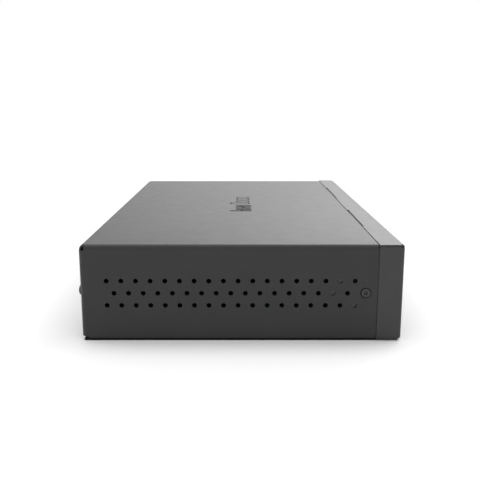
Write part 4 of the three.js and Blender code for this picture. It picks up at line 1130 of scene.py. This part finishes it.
def studio():
    """White surroundings and floor, brighter overhead just past the piece and low down at +X and -Y."""
    scene = bpy.context.scene
    scene.view_settings.view_transform = "Standard"
    world = bpy.data.worlds.new("studio")
    scene.world = world
    world.use_nodes = True
    nodes, links = world.node_tree.nodes, world.node_tree.links
    split = nodes.new("ShaderNodeSeparateXYZ")
    links.new(nodes.new("ShaderNodeTexCoord").outputs["Generated"], split.inputs["Vector"])

    def fade(axis, start, end):
        """0 to 1 as the direction's part along an axis goes from start to end."""
        node = nodes.new("ShaderNodeMapRange")
        node.interpolation_type = "SMOOTHSTEP"
        node.inputs["From Min"].default_value = start
        node.inputs["From Max"].default_value = end
        links.new(split.outputs[axis], node.inputs["Value"])
        return node.outputs["Result"]

    def combine(operation, *values):
        node = nodes.new("ShaderNodeMath")
        node.operation = operation
        for socket, value in zip(node.inputs, values):
            if isinstance(value, float):
                socket.default_value = value
            else:
                links.new(value, socket)
        return node.outputs[0]

    low = combine("MULTIPLY", fade("Y", 0.35, -0.55), fade("X", 0.5, 0.8))
    low = combine("MULTIPLY", low, fade("Z", 0.16, 0.34))
    low = combine("MULTIPLY", low, fade("Z", 0.55, 0.35))
    above = combine("MULTIPLY", fade("X", 0.0, 0.1), fade("X", 0.5, 0.3))
    above = combine("MULTIPLY", above, fade("Z", 0.55, 0.75))
    near = combine("MULTIPLY", fade("X", -0.2, -0.5), fade("Z", 0.5, 0.1))
    strength = combine("MULTIPLY_ADD", fade("X", -0.25, -0.02), 1.0 - NEAR_SIDE, NEAR_SIDE)
    strength = combine("MULTIPLY_ADD", low, GLOW, strength)
    strength = combine("MULTIPLY_ADD", above, OVERHEAD, strength)
    strength = combine("MULTIPLY_ADD", near, NEAR_LOW, strength)
    for share, start, end in ((REAR_DIM, 0.35, 0.75), (FRONT_DIM, -0.45, -0.85)):
        high = combine("MULTIPLY", fade("Y", start, end), fade("Z", 0.2, 0.35))
        strength = combine("MULTIPLY_ADD", high, -share, strength)
    links.new(strength, nodes["Background"].inputs["Strength"])
    nodes["Background"].inputs["Color"].default_value = (1, 1, 1, 1)

    floor = new_object("floor", bpy.data.meshes.new("floor"))
    bm = bmesh.new()
    bmesh.ops.create_grid(bm, x_segments=1, y_segments=1, size=FLOOR_HALF)
    bm.to_mesh(floor.data)
    bm.free()
    paper = Shader("paper", grey(PAPER), 0.9, specular=0.0)
    floor.data.materials.append(paper.material)


def camera():
    data = bpy.data.cameras.new("camera")
    data.lens = 50
    data.sensor_width = 36
    eye = new_object("camera", data)
    eye.location = Vector((-SIDE_X - CAMERA_DISTANCE, CAMERA_Y, CAMERA_HEIGHT)) * MM
    tilt = math.radians(CAMERA_TILT)
    eye.rotation_mode = "QUATERNION"
    eye.rotation_quaternion = Vector((math.cos(tilt), 0, -math.sin(tilt))).to_track_quat("-Z", "Y")
    data.clip_start = 0.01
    bpy.context.scene.camera = eye


studio()
camera()
